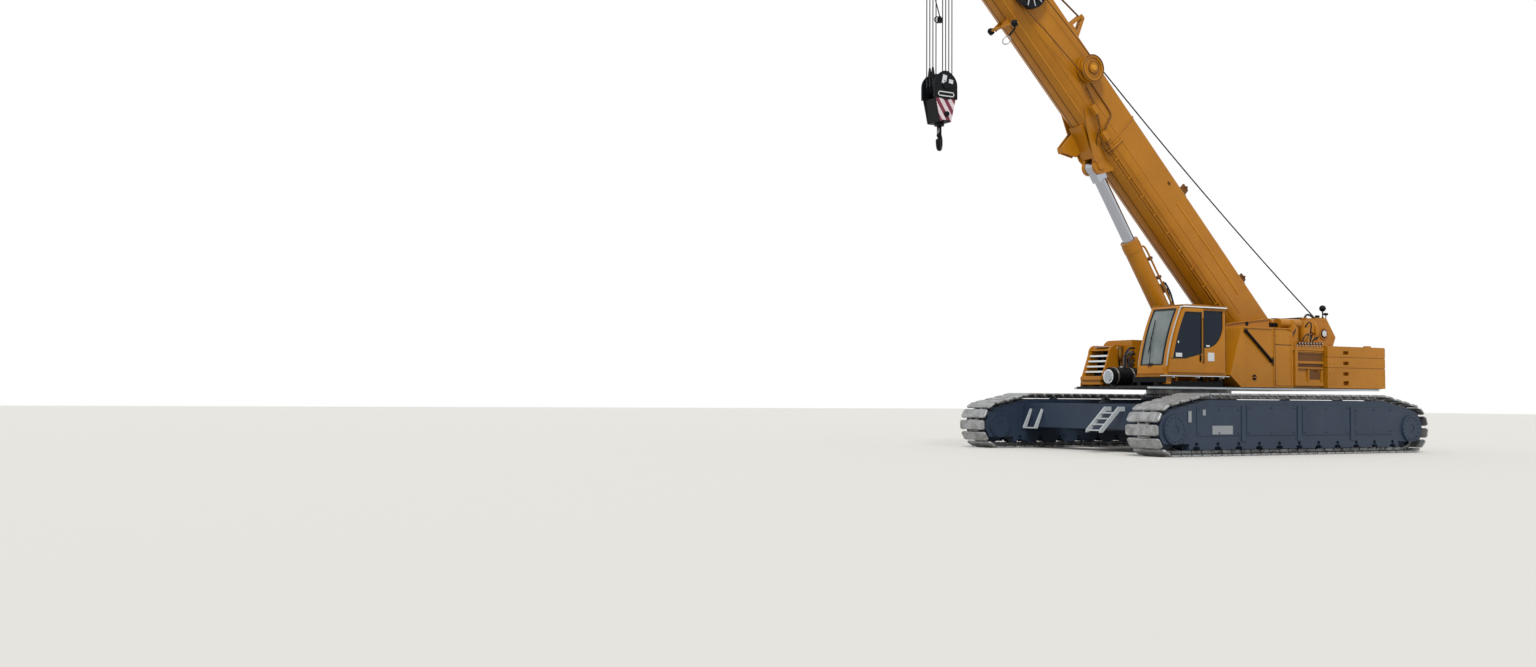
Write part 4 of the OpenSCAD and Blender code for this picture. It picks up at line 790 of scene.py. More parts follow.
def makeBoomPipes(settings):
    half = settings["half"]

    def beside(points):
        return [onBoom(s, half + out, n) for s, out, n in points]

    def belly(points):
        return [bellyPoint(s, degrees, out, settings) for s, degrees, out in points]
    pipes = [belly([(1.2, -36, 0.03), (3.0, -36, 0.03), (5.95, -36, 0.03)]),
             belly([(1.2, -42, 0.03), (3.0, -42, 0.03), (5.90, -42, 0.03)]),
             belly([(6.04, degrees, 0.02) for degrees in range(-75, 10, 7)])]
    makeHoses("boomSidePipes", "boom", "gold", settings["pipe"], pipes)
    # the rib along the boom's side is drawn in the paler gold, a painted highlight line
    rib = beside([(3.93, 0.003, 0.0), (2.4, 0.003, 0.02), (1.10, 0.003, -0.01)])
    makeHoses("boomSideRib", "boom", "highlightGold", settings["rib"], [rib])

    def clipBlocks(shape):
        clips = settings["clips"]
        for k in range(clips["count"]):
            s = clips["first"] + k * clips["gap"]
            a, b = bellyPoint(s, clips["from"], 0.0, settings), bellyPoint(s, clips["to"], 0.0, settings)
            out = ((a + b) / 2 - onBoom(s, 0, settings["middle"])).normalized()
            addSheet(shape, [a - out * 0.01, a + out * 0.058, b + out * 0.058, b - out * 0.01],
                     boomAxis * clips["length"])
    makePiece("pipeClips", "boom", "gold", clipBlocks)
    cables = [beside(points) for points in settings["cables"]]
    makeHoses("reelCables", "boom", "shadedGold", settings["cable"], cables)
    hoses = [smoothPath(beside(upper) + belly(lower)) for upper, lower in settings["hoses"]]
    makeHoses("saddleHoses", "boom", "shadedGold", settings["hose"], hoses)

    def boxes(shape):
        for s, n, out in settings["boxes"]:
            y = half + out
            addBlock(shape, (-0.11, y - 0.03, -0.075), (0.11, y + 0.09, 0.075), 0.012, boomFrame(s, n))
            addRod(shape, onBoom(s - 0.13, y + 0.05, n), onBoom(s + 0.13, y + 0.05, n), 0.022, 12)
    makePiece("valveBoxes", "boom", "gold", boxes)


makeBendLines(boomLooks)
makeBoomPipes(boomLooks)

lampBar = {
    "along": 9.80, "up": -0.90, "hang": 0.08, "ends": (-0.28, 0.52), "radius": 0.028, "lamp": 0.07,
    "arms": (-0.12, 0.14), "ring": (9.57, 0.26, -1.20), "ringHalf": (0.075, 0.03, 0.095),
}


def makeLampBar(settings):
    s, n = settings["along"], settings["up"]
    low = n - settings["hang"]

    def bar(shape):
        addRod(shape, *(onBoom(s, y, low) for y in settings["ends"]), settings["radius"])
        for y in settings["arms"]:
            addBlock(shape, (-0.05, y - 0.012, -0.10), (0.05, y + 0.012, 0.20), 0.0, boomFrame(s, n))
    makePiece("lampBar", "boom", "gold", bar, smooth=True)

    def lamps(shape):
        # round work lamps, each with a bezel and a boss for its cable
        for y in settings["ends"]:
            place = Matrix.Translation(onBoom(s, y, low))
            bmesh.ops.create_uvsphere(shape, u_segments=20, v_segments=12, radius=settings["lamp"], matrix=place)
            addRod(shape, onBoom(s - 0.02, y, low), onBoom(s - 0.075, y, low), 0.066, 24, 0.058)
            addRod(shape, onBoom(s, y, low), onBoom(s, y, n + 0.02), 0.018, 10)
    makePiece("lampBarEnds", "boom", "black", lamps, smooth=True)
    # ring that hangs from the belly by an eye
    along, side, up = settings["ring"]
    halfAlong, halfSide, halfUp = settings["ringHalf"]
    turns = circlePoints(1, 24) + circlePoints(1, 1)
    ring = [onBoom(along + halfAlong * u, side + halfSide * v, up + halfUp * v) for u, v in turns]
    makeHoses("beltRing", "boom", "zinc", 0.012, [ring])
    makeHoses("beltRingEye", "boom", "black", 0.022, [[onBoom(9.62, side, -0.82), onBoom(9.60, side, -1.05)]])


makeLampBar(lampBar)

topLooks = {
    "lugs": [(3.95, 0.21), (1.22, 0.15)],
    "stay": [(8.74, 0.30, 0.78), (9.28, 0.30, 0.66), (10.35, 0.30, 0.42)],
    "stayRadius": 0.020,
}


def makeTopEyes(settings):
    # small lugs on the boom's top edge, and the stay that rises from the rope guide
    def lugs(shape):
        for s, high in settings["lugs"]:
            addBlock(shape, (-0.11, 0.36, 0.0), (0.11, 0.39, high), 0.02, boomFrame(s, 0.345))
            addBlock(shape, (-0.14, 0.34, 0.0), (0.14, 0.41, 0.035), 0.006, boomFrame(s, 0.35))
            eye = 0.345 + high - 0.03
            addRod(shape, onBoom(s, 0.35, eye), onBoom(s, 0.43, eye), 0.028, 14)
        addBlock(shape, (-0.04, 0.448, -0.03), (0.04, 0.47, 0.03), 0.005, boomFrame(4.40, 0.13))
    makePiece("boomTopLugs", "boom", "shadedGold", lugs)
    stay = [onBoom(*point) for point in settings["stay"]]
    makeHoses("guideStay", "boom", "shadedGold", settings["stayRadius"], [stay])


makeTopEyes(topLooks)

reelLooks = {
    "spokes": 12,
    "hub": 0.10,
    "rim": 0.04,
    "boltCircle": 0.075,
    "bolts": 8,
    "wheelHub": (0.075, 0.06),
    "grooves": (0.292, 0.150),
    "groove": 0.008,
}


def dressReel(settings):
    # pale spokes on the outer face of the cable reel, and the hub and shaded grooves of the guide wheel
    low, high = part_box("cable_reel")
    pin = Vector(joints["reel_turn"]["pos_m"])
    reach = (high.x - low.x) / 2 - settings["rim"]

    def spokes(shape):
        for u, w in circlePoints(1, settings["spokes"], 0.4):
            way, across = Vector((u, 0, w)), Vector((-w, 0, u))
            near, far = pin + way * settings["hub"], pin + way * reach
            near.y = far.y = high.y - 0.002
            wide, narrow = across * 0.018, across * 0.012
            addSheet(shape, [near - wide, far - narrow, far + narrow, near + wide], (0, 0.010, 0))
    makePiece("reelSpokes", "reel", "pale", spokes)
    bolts = [((pin.x + dx, high.y + 0.006, pin.z + dz), (0, 1, 0))
             for dx, dz in circlePoints(settings["boltCircle"], settings["bolts"])]
    makeBolts("reelBolts", "reel", "zinc", 0.012, 0.016, bolts)
    low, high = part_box("guide_wheel")
    middle = (low + high) / 2
    face = high.y

    def hub(shape):
        foot, top = settings["wheelHub"]
        addRod(shape, (middle.x, face - 0.004, middle.z), (middle.x, face + 0.03, middle.z), foot, 28, top)
    makePiece("wheelHub", "rope_wheel", "highlightGold", hub)

    def grooves(shape):
        for radius in settings["grooves"]:
            circle = [(middle.x + dx, face, middle.z + dz) for dx, dz in circlePoints(radius, 40)]
            for a, b in zip(circle, circle[1:] + circle[:1]):
                addRod(shape, a, b, settings["groove"], 6)
    makePiece("wheelRims", "rope_wheel", "shadedGold", grooves)


dressReel(reelLooks)
print("boom dressed")

# luffing cylinder

cylinderLooks = {
    # places are given along the barrel from its foot, to the left, and out towards the boom
    "radius": 0.022,
    "pipe": [(1.5, 0.10, 0.19), (1.6, 0.12, 0.25), (1.9, 0.12, 0.25), (2.4, 0.12, 0.25), (3.35, 0.12, 0.25),
             (3.5, 0.10, 0.19)],
    "hoses": [[(2.25, 0.06, 0.34), (2.15, 0.06, 0.345), (2.0, 0.06, 0.31), (1.86, 0.06, 0.275),
               (1.78, 0.06, 0.25)],
              [(2.44, 0.12, 0.34), (2.2, 0.14, 0.335), (2.0, 0.14, 0.30), (1.84, 0.13, 0.27),
               (1.76, 0.12, 0.25)]],
    "clips": (1.9, 2.65, 3.15),
    "clip": ((-0.03, 0.06, 0.17), (0.03, 0.17, 0.285), 0.006),
    "blocks": [(1.68, (-0.16, 0.02, 0.185), (0.16, 0.20, 0.29), 0.02),
               (2.35, (-0.10, -0.02, 0.17), (0.10, 0.14, 0.31), 0.02)],
    "nipples": (2.25, 2.44),
    "nipple": (0.06, 0.31, 0.36, 0.035),
    "gland": {"along": 3.761, "circle": 0.17, "bolts": 12, "radius": 0.016},
}


def dressCylinder(settings):
    foot = Vector(joints["cylinder_lower"]["pos_m"])
    axis = Vector(joints["piston_slide"]["axis"]).normalized()
    if axis.z < 0:
        axis = -axis
    left = Vector((0, 1, 0))
    out = Vector((-axis.z, 0, axis.x))

    def spot(along, side, away):
        return foot + axis * along + Vector((0, side, 0)) + out * away

    def route(points):
        return smoothPath([spot(*point) for point in points])
    makeHoses("cylinderPipe", "barrel", "gold", settings["radius"], [route(settings["pipe"])])

    def clips(shape):
        turn = Matrix((-axis, left, out)).transposed().to_4x4()
        rows = [(along, *settings["clip"]) for along in settings["clips"]] + settings["blocks"]
        for along, low, high, bevel in rows:
            addBlock(shape, low, high, bevel, Matrix.Translation(foot + axis * along) @ turn)
        side, inner, outer, radius = settings["nipple"]
        for along in settings["nipples"]:
            addRod(shape, spot(along, side, inner), spot(along, side, outer), radius, 14)
    makePiece("cylinderClips", "barrel", "shadedGold", clips)
    hoses = [route(points) for points in settings["hoses"]]
    makeHoses("cylinderHoses", "barrel", "rubber", settings["radius"], hoses)
    gland = settings["gland"]
    middle = foot + axis * gland["along"]
    bolts = [(middle + left * u + out * v, axis) for u, v in circlePoints(gland["circle"], gland["bolts"])]
    makeBolts("glandBolts", "barrel", "zinc", gland["radius"], 0.02, bolts)


dressCylinder(cylinderLooks)

# cab

cabLooks = {
    "arc": (-1.8728, 1.2203, 4.2),  # middle and radius of the windscreen's curve, seen from the side
    # strips along that curve: from and to height, steps, from and to side
    "seal": [(1.915, 3.175, 14, 0.775, 0.80), (1.915, 3.175, 14, 1.408, 1.433),
             (1.915, 1.940, 1, 0.775, 1.433), (3.150, 3.175, 1, 0.775, 1.433)],
    "sealDepth": (-0.02, 0.006),
    "pillars": [(1.90, 3.20, 12, 0.700, 0.706), (1.90, 3.20, 12, 1.548, 1.556)],
    "pillarDepth": (-0.03, 0.004),
    "gutter": [((0.46, 1.596, 3.196), (1.80, 1.612, 3.226), 0.003),
               ((1.80, 0.70, 3.186), (1.826, 1.60, 3.216), 0.004),
               ((0.44, 0.72, 3.200), (0.456, 1.60, 3.230), 0.003),
               ((1.52, 1.50, 3.248), (1.66, 1.58, 3.275), 0.008)],
    "roof": [((0.44, 0.69, 3.232), (1.83, 1.61, 3.252), 0.008),
             ((0.75, 0.85, 3.252), (1.35, 1.40, 3.285), 0.02)],
    # the wiper's motor cover, then the shadow gaps under the gutter and at the rear corner
    "dark": [((2.155, 1.02, 1.90), (2.31, 1.14, 1.96), 0.012),
             ((0.50, 1.552, 3.182), (1.76, 1.600, 3.195)),
             ((0.452, 1.552, 1.80), (0.462, 1.557, 3.16))],
    # the wiper's arm and blade: two places (height, side, depth) on the windscreen, and the radius
    "wiper": [((1.94, 1.08, 0.03), (2.55, 0.98, 0.03), 0.010),
              ((2.20, 0.985, 0.02), (2.92, 0.955, 0.02), 0.012)],
    "grabRail": {"x": 1.205, "y": (1.598, 1.626), "z": (1.98, 2.95), "radius": 0.010},
    "plates": [((0.81, 1.552, 2.02), (1.01, 1.559, 2.21), 0.002),
               ((0.95, 1.552, 2.335), (1.06, 1.559, 2.375), 0.002),
               ((0.58, 1.552, 1.77), (1.08, 1.557, 1.785), 0.001)],
    # pale step plate along the cab's lower edge, on three short brackets
    "sill": [((0.40, 1.50, 1.672), (2.40, 1.62, 1.690), 0.004)]
            + [((x, 1.50, 1.640), (x + 0.05, 1.60, 1.675), 0.004) for x in (0.55, 1.30, 2.05)],
    # consoles beside the seat with their levers, the screen, the pedals and the box behind the seat
    "consoles": (0.86, 1.30),
    "controls": [((1.80, 0.80, 2.20), (1.84, 1.10, 2.48), 0.012),
                 ((1.95, 0.95, 1.81), (2.12, 1.30, 1.88), 0.02),
                 ((0.66, 1.02, 2.83), (0.76, 1.23, 3.02), 0.035)],
    "screenPost": [((1.86, 0.95, 1.81), (1.83, 0.95, 2.22), 0.02, 8)],
    # apron and foot rail across the cab's front, and the blocks that carry its front corners
    "apron": [((2.245, 0.72, 1.72), (2.315, 1.53, 1.86), 0.012),
              ((2.30, 0.78, 1.66), (2.42, 1.50, 1.69), 0.006),
              ((2.10, 1.36, 1.50), (2.28, 1.54, 1.70), 0.015),
              ((2.12, 0.80, 1.54), (2.24, 0.94, 1.70), 0.015)],
}


def screenPoint(z, y, out, settings):
    # a place on the windscreen's curve at the height z
    arcX, arcZ, radius = settings["arc"]
    return onDeck(arcX + math.sqrt((radius + out) ** 2 - (z - arcZ) ** 2), y, z)


def makeScreenStrips(name, finish, strips, depth, settings):
    # strips that follow the windscreen's curve
    inner, outer = depth

    def build(shape):
        for low, high, steps, y0, y1 in strips:
            heights = [low + k * (high - low) / steps for k in range(steps + 1)]
            for a, b in zip(heights, heights[1:]):
                corners = [screenPoint(z, y0, out, settings)
                           for z, out in ((a, inner), (b, inner), (b, outer), (a, outer))]
                addSheet(shape, corners, (0, y1 - y0, 0))
    makePiece(name, "cab", finish, build)


def dressCab(settings):
    makeScreenStrips("windscreenSeal", "rubber", settings["seal"], settings["sealDepth"], settings)
    # the pale strips along the windscreen's pillars are painted highlights on their edges
    makeScreenStrips("pillarEdges", "pale", settings["pillars"], settings["pillarDepth"], settings)
    # the gutter and rails round the roof are real parts; their white tread finish is a painted highlight along the
    # roof's rim
    makeDeckPiece("roofGutter", "cab", "tread", settings["gutter"])
    makeDeckPiece("roofSkin", "cab", "gold", settings["roof"])

    def dark(shape):
        addBlocks(shape, settings["dark"])
        for start, end, radius in settings["wiper"]:
            addRod(shape, screenPoint(*start, settings), screenPoint(*end, settings), radius, 8)
    makePiece("cabDarkParts", "cab", "rubber", dark)


def dressCabFittings(settings):
    # grab rail, plates, sill, controls and apron
    rail = settings["grabRail"]
    (inner, outer), (low, high) = rail["y"], rail["z"]
    rods = [((rail["x"], outer, low), (rail["x"], outer, high), rail["radius"], 10)]
    rods += [((rail["x"], inner, z), (rail["x"], outer, z), rail["radius"], 10) for z in (low, high)]
    makeDeckPiece("grabRail", "cab_door", "black", rods=rods)
    makeDeckPiece("blankCabPlates", "cab", "plate", settings["plates"])
    makeDeckPiece("cabSill", "cab", "tread", settings["sill"])

    blocks, rods = list(settings["controls"]), list(settings["screenPost"])
    for y in settings["consoles"]:
        blocks += [((0.95, y, 2.12), (1.50, y + 0.11, 2.32), 0.03),
                   ((1.43, y + 0.03, 2.50), (1.49, y + 0.08, 2.60), 0.015)]
        rods += [((1.42, y + 0.055, 2.30), (1.46, y + 0.055, 2.52), 0.014, 8)]
    makeDeckPiece("cabControls", "cab", "rubber", blocks, rods)
    makeDeckPiece("cabApron", "cab", "gold", settings["apron"])


seatLooks = {
    "pad": {"steps": 20, "corner": 5, "crown": 0.24, "pull": 0.035, "dip": 0.14, "channels": (-0.42, 0.42)},
    "headPad": {"steps": 12, "corner": 4, "crown": 0.2, "pull": 0.02, "dip": 0.0, "channels": ()},
    # each pad: its middle forward and up from the seat's rear foot, and its half length and half thickness
    "cushion": (0.38, 0.352, 0.26, 0.062),
    "back": (0.146, 0.63, 0.235, 0.055),
    "head": (0.076, 0.975, 0.085, 0.05),
    "headHalf": 0.14,
    "lean": (-0.12, 0.66),
    "bellows": {"x": 0.36, "folds": 5, "wide": 0.17, "narrow": 0.15, "pitch": 0.052, "high": 0.056},
}


def dressSeat(settings):
    # operator's seat: cushion, back and head pad with sewn channels, on a bellows pedestal
    low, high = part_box("operator_seat")
    side = (low.y + high.y) / 2
    half = (high.y - low.y) / 2
    leanX, leanZ = settings["lean"]
    lean = Vector((leanX, 0, leanZ)).normalized()
    out = Vector((leanZ, 0, -leanX)).normalized()

    def pad(key, along, width, up, form):
        # gives the function that draws one pad of the seat
        x, z, length, thick = settings[key]

        def build(shape):
            middle = Vector((low.x + x, side, low.z + z))
            addPad(shape, middle, along * length, Vector((0, width, 0)), up * thick, form)
        return build

    cushion = pad("cushion", Vector((1, 0, 0)), half, Vector((0, 0, 1)), settings["pad"])
    back = pad("back", -lean, half - 0.015, out, settings["pad"])
    headPad = pad("head", -lean, settings["headHalf"], out, settings["headPad"])
    seat = makePiece("seatCushion", "cab", "seat", cushion, smooth=True)
    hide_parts("operator_seat")
    makePiece("seatBack", "cab", "seat", back, smooth=True)
    makePiece("seatHeadPad", "cab", "seat", headPad, smooth=True)

    def pedestal(shape):
        bellows = settings["bellows"]
        x = low.x + bellows["x"]
        for k in range(bellows["folds"]):
            wide = bellows["wide"] if k % 2 else bellows["narrow"]
            foot = low.z + k * bellows["pitch"]
            top = foot + bellows["high"]
            addBlock(shape, (x - wide, side - wide, foot), (x + wide, side + wide, top), 0.018)
        addBlock(shape, (low.x + 0.14, side - 0.21, low.z + 0.262),
                 (low.x + 0.60, side + 0.21, low.z + 0.292), 0.01)
        for e in (-0.06, 0.06):
            addRod(shape, (low.x + 0.088, side + e, low.z + 0.80),
                   (low.x + 0.07, side + e, low.z + 0.93), 0.008, 8)
    makePiece("seatPedestal", "cab", "rubber", pedestal)


doorLooks = {
    "handle": [((1.275, 1.600, 2.02), (1.305, 1.632, 2.14), 0.008),
               ((1.268, 1.598, 2.00), (1.312, 1.606, 2.16), 0.004)],
    "plates": [((1.84, 1.600, 2.10), (2.03, 1.6045, 2.185), 0.001),
               ((1.93, 1.600, 2.40), (1.97, 1.6045, 2.45), 0.001)],
    "sealFoot": [(1.232, 2.178), (1.735, 2.066), (2.165, 2.056)],
    "sealSides": [((1.230, 1.5985, 2.18), (1.248, 1.6035, 3.10)),
                  ((1.230, 1.5985, 3.082), (1.73, 1.6035, 3.10))],
    "sealWidth": 0.018,
    "sealFace": 1.5985,
    "sealThick": 0.005,
}


def dressDoor(settings):
    makeDeckPiece("doorHandle", "cab_door", "black", settings["handle"])
    makeDeckPiece("blankDoorPlates", "cab_door", "plate", settings["plates"])

    def seal(shape):
        # thin dark seal round the door's window
        foot, face, width = settings["sealFoot"], settings["sealFace"], settings["sealWidth"]
        for (xa, za), (xb, zb) in zip(foot, foot[1:]):
            addSheet(shape, [onDeck(xa, face, za), onDeck(xb, face, zb), onDeck(xb, face, zb + width),
                             onDeck(xa, face, za + width)], (0, settings["sealThick"], 0))
        addBlocks(shape, settings["sealSides"])
    makePiece("doorWindowSeal", "cab_door", "rubber", seal)


dressCab(cabLooks)
dressSeat(seatLooks)
dressCabFittings(cabLooks)
dressDoor(doorLooks)
print("cab dressed")

# superstructure

panelLooks = {
    "side": 1.60,
    # all places across the crane are measured from the side's face; the left panel's strut and its two ends,
    # and a black disc low on it, painted shade standing for the slot hole there
    "strut": [((-0.12, 0.035, 2.72), (-0.94, 0.035, 2.06), 0.03, 12),
              ((-0.12, -0.01, 2.72), (-0.12, 0.05, 2.72), 0.045, 12),
              ((-0.94, -0.01, 2.06), (-0.94, 0.05, 2.06), 0.045, 12),
              ((-0.40, -0.01, 1.68), (-0.40, 0.012, 1.68), 0.065, 24)],
    "seams": [((-1.09, -0.002, 1.50), (-1.075, 0.002, 2.82)),
              ((-1.66, -0.002, 2.43), (-1.09, 0.002, 2.445)),
              ((-1.02, -0.001, 1.95), (-1.00, 0.02, 2.15), 0.004)],
    # folded edges of the sheet panels, and the lip over the black disc
    "folds": [((-1.06, -0.002, 1.48), (-1.03, 0.016, 2.81), 0.004),
              ((-1.62, -0.002, 1.50), (-1.10, 0.012, 1.54), 0.004),
              ((-0.98, -0.004, 2.785), (-0.06, 0.020, 2.812), 0.004),
              ((-1.62, -0.004, 2.80), (-1.08, 0.020, 2.826), 0.004),
              ((-1.64, -0.02, 1.50), (-1.612, 0.014, 2.60), 0.004),
              ((-0.46, -0.002, 1.67), (-0.34, 0.022, 1.69), 0.006)],
    "rivet": 0.010,
    "rivetColumns": (-0.16, -0.98, -1.14, -1.57),
    "rivetRows": [1.62 + k * 0.17 for k in range(7)],
    "slabRivets": (-4.82, -4.60, -3.10, -2.94),
    "slabRows": [1.50 + i * 0.24 + 0.06 for i in range(4)],
}


def dressPanels(settings):
    side = settings["side"]
    makeDeckPiece("panelDarkParts", "superstructure", "black", settings["seams"], settings["strut"], side)
    makeDeckPiece("panelFolds", "superstructure", "gold", settings["folds"], side=side)
    rivets = [(onDeck(x, side + 0.003, z), (0, 1, 0))
              for x in settings["rivetColumns"] for z in settings["rivetRows"]]
    for z in settings["slabRows"]:
        for x in settings["slabRivets"]:
            rivets += [(onDeck(x, e * side + e * 0.004, z), (0, e, 0)) for e in (1, -1)]
    makeBolts("panelBolts", "superstructure", "gold", settings["rivet"], 0.014, rivets, sides=8)


guardLooks = {
    # plate that stands beside the boom's foot on each side, its top edge rising to the rear
    "outline": [(-0.04, 2.70), (-0.08, 2.89), (-0.30, 2.93), (-1.46, 3.06), (-1.50, 2.70)],
    "side": 1.08,
    "thick": 0.012,
    "flange": (-0.03, 0.045, 0.018),
    "brackets": (-0.10, -0.70, -1.40),
    "hole": (-0.74, 2.93, 0.055),
    "knobs": [((-1.62 - k * 0.10, 0.98, 2.90), (-1.56 - k * 0.10, 1.06, 2.98), 0.012) for k in range(3)],
}


def dressGuards(settings):
    inner, outer, thick = settings["flange"]

    def guard(shape):
        for e in (-1, 1):
            y = e * settings["side"]
            addSheet(shape, [onDeck(x, y, z) for x, z in settings["outline"]], (0, e * settings["thick"], 0))
            for (xa, za), (xb, zb) in zip(settings["outline"][1:3], settings["outline"][2:4]):
                corners = (xa, za, inner), (xb, zb, inner), (xb, zb, outer), (xa, za, outer)
                addSheet(shape, [onDeck(x, y + e * off, z - 0.004) for x, z, off in corners], (0, 0, thick))
            near, far = sorted((y - e * 0.10, y))
            addBlocks(shape, [((x - 0.02, near, 2.71), (x + 0.02, far, 2.84), 0.004)
                              for x in settings["brackets"]])
    makePiece("footGuards", "superstructure", "gold", guard)
    # each hole is a black disc on the plate, painted shade for the hole's inside
    x, z, radius = settings["hole"]
    face = settings["side"] + 0.010
    holes = [((x, e * face, z), (x, e * face + e * 0.006, z), radius, 24) for e in (-1, 1)]
    makeDeckPiece("guardHoles", "superstructure", "black", settings["knobs"], holes)


machineryLooks = {
    # hoses and pipes between the hydraulic unit, the winch and the boom's foot
    "hose": 0.026,
    "hoses": [
        [(-1.78, 0.72, 2.90), (-1.92, 0.78, 3.03), (-2.15, 0.84, 3.06), (-2.45, 0.88, 2.98), (-2.60, 0.86, 2.86)],
        [(-1.74, 0.80, 2.86), (-1.90, 0.90, 2.98), (-2.10, 0.98, 2.98), (-2.35, 1.00, 2.90)],
        [(-1.80, 0.64, 2.92), (-2.00, 0.66, 3.08), (-2.4, 0.72, 3.10), (-2.8, 0.78, 3.13), (-2.95, 0.80, 3.14)],
        [(-3.20, 0.62, 3.10), (-3.40, 0.55, 3.24), (-3.65, 0.44, 3.26), (-3.90, 0.40, 3.18)],
        [(-3.22, 0.80, 2.92), (-3.45, 0.70, 2.86), (-3.60, 0.52, 2.70), (-3.62, 0.44, 2.55)],
        [(-2.55, 1.05, 2.52), (-2.72, 1.20, 2.60), (-2.86, 1.10, 2.72), (-2.96, 1.00, 2.80)],
    ],
    "thinHose": 0.015,
    "thinHoses": [
        [(-1.70, 0.86, 2.84), (-1.86, 1.02, 2.94), (-2.02, 1.10, 2.92)],
        [(-1.80, 1.15, 2.42), (-1.84, 1.36, 2.62), (-2.00, 1.40, 2.80), (-2.04, 1.30, 2.89)],
        [(-2.40, 1.34, 2.88), (-2.42, 1.44, 3.00), (-2.60, 1.36, 2.92), (-2.70, 1.20, 2.60)],
        [(-2.20, 1.42, 2.50), (-2.24, 1.46, 2.66), (-2.40, 1.44, 2.72), (-2.50, 1.30, 2.62)],
        [(-2.52, 1.42, 2.50), (-2.58, 1.47, 2.62), (-2.74, 1.44, 2.66), (-2.84, 1.20, 2.58)],
        [(0.00, 1.36, 2.60), (0.00, 1.42, 2.40), (0.06, 1.43, 2.15), (0.04, 1.36, 1.80)],
        [(-0.06, 1.34, 2.58), (-0.05, 1.40, 2.35), (0.01, 1.42, 2.05), (-0.04, 1.32, 1.72)],
    ],
    "pipe": 0.030,
    "pipes": [
        [(-3.09, 1.06, 2.60), (-3.09, 1.10, 2.80), (-3.09, 1.06, 3.02), (-3.12, 0.90, 3.10)],
        [(-3.19, 1.02, 2.60), (-3.19, 1.06, 2.80), (-3.19, 1.02, 2.98), (-3.22, 0.86, 3.05)],
    ],
    # filters, and the upright tank with its welded lid
    "filters": [((-2.25, 1.12, 2.40), (-2.25, 1.12, 3.05), 0.045, 16),
                ((-2.45, 1.29, 2.88), (-2.45, 1.29, 2.93), 0.08, 20),
                ((-2.05, 1.29, 2.88), (-2.05, 1.29, 2.93), 0.08, 20)],
    "tank": [((-2.97, 1.012, 2.72), (-2.64, 1.060, 3.08), 0.012),
             ((-2.94, 1.050, 2.76), (-2.67, 1.075, 3.04), 0.010)]
            + [((x - 0.03, 0.64, 3.130), (x + 0.03, 0.98, 3.145), 0.004) for x in (-3.16, -2.92)],
    "unitFace": 1.50,
    # bars over the cooler and the frame of the opening below them, across the crane from the unit's face
    "bars": [((-2.80, -0.01, z), (-1.90, 0.045, z + high), 0.010)
             for z, high in ((2.385, 0.035), (2.285, 0.030), (2.02, 0.045), (1.90, 0.030))]
            + [((-1.90, -0.01, 1.50), (-1.80, 0.06, 2.42), 0.010),
               ((-2.80, -0.01, 1.50), (-1.90, 0.04, 1.60), 0.010),
               ((-2.32, -0.01, 1.60), (-2.26, 0.03, 1.90), 0.006),
               ((-2.78, -0.01, 1.60), (-2.72, 0.03, 1.90), 0.006)],
    # plates in the darker gold, painted shade in the gaps between the bars and in the opening below them
    "gaps": [((-2.80, -0.01, 2.09), (-1.91, 0.004, 2.26)),
             ((-2.71, -0.01, 1.66), (-2.33, 0.004, 1.84)),
             ((-2.80, -0.01, 1.945), (-1.91, 0.003, 2.015))],
    "valves": {"first": -1.98, "pitch": 0.098, "count": 9, "z": 2.50, "radius": 0.034},
    # valve bank in the gap between the cab and the left panel
    "bank": [((-0.12, 1.26, 2.22), (0.03, 1.38, 2.62), 0.010),
             ((-0.06, 1.24, 1.74), (0.12, 1.36, 1.94), 0.010)],
    "bankPorts": [((-0.045, 1.37, z), (-0.045, 1.42, z), 0.026, 12)
                  for z in [2.27 + k * 0.10 for k in range(4)]],
}


def dressMachinery(settings):
    makeHoses("machineryHoses", "superstructure", "rubber", settings["hose"], deckLines(settings["hoses"]))
    makeHoses("thinHoses", "superstructure", "rubber", settings["thinHose"], deckLines(settings["thinHoses"]))
    makeHoses("machineryPipes", "superstructure", "gold", settings["pipe"], deckLines(settings["pipes"]))
    face = settings["unitFace"]

    def golds(shape):
        addBlocks(shape, settings["tank"])
        addBlocks(shape, settings["bars"], face)
        addRods(shape, settings["filters"])
    makePiece("machineryGold", "superstructure", "gold", golds, smooth=True)
    valves = settings["valves"]
    places = [valves["first"] - k * valves["pitch"] for k in range(valves["count"])]
    # the valve bodies take the darker gold too, as painted shade
    bodies = [((x, -0.01, valves["z"]), (x, 0.03, valves["z"]), valves["radius"], 14) for x in places]
    makeDeckPiece("machineryShade", "superstructure", "shadedGold", settings["gaps"], bodies, face)
    caps = []
    for x in places:
        caps.append((onDeck(x, face + 0.034, valves["z"]), (0, 1, 0)))
        caps.append((onDeck(x + 0.05, face + 0.006, 2.445), (0, 1, 0)))
    makeBolts("valveCaps", "superstructure", "zinc", 0.020, 0.018, caps)
    makeDeckPiece("valveBank", "superstructure", "zinc", settings["bank"], settings["bankPorts"])


winchLooks = {
    "hub": (-4.18, 2.82),
    "side": 0.432,
    "disc": [((-4.18, 0.436, 2.82), (-4.18, 0.452, 2.82), 0.085, 6)],
    # cable post, two small boxes and the dark ring behind the disc
    "boxes": [((-4.39, 0.32, 3.28), (-4.29, 0.40, 3.34), 0.01),
              ((-4.08, 0.32, 3.21), (-3.98, 0.40, 3.27), 0.01)],
    "post": [((-4.34, 0.36, 3.16), (-4.34, 0.36, 3.30), 0.012, 8),
             ((-4.18, 0.430, 2.82), (-4.18, 0.440, 2.82), 0.105, 24)],
    "bolt": 0.016,
    "circle": 0.135,
    "frameSide": 0.413,
    "frameBolts": ((-4.40, 2.55), (-4.50, 2.72), (-4.20, 3.14), (-3.95, 3.14), (-3.45, 2.80), (-3.30, 2.70)),
}


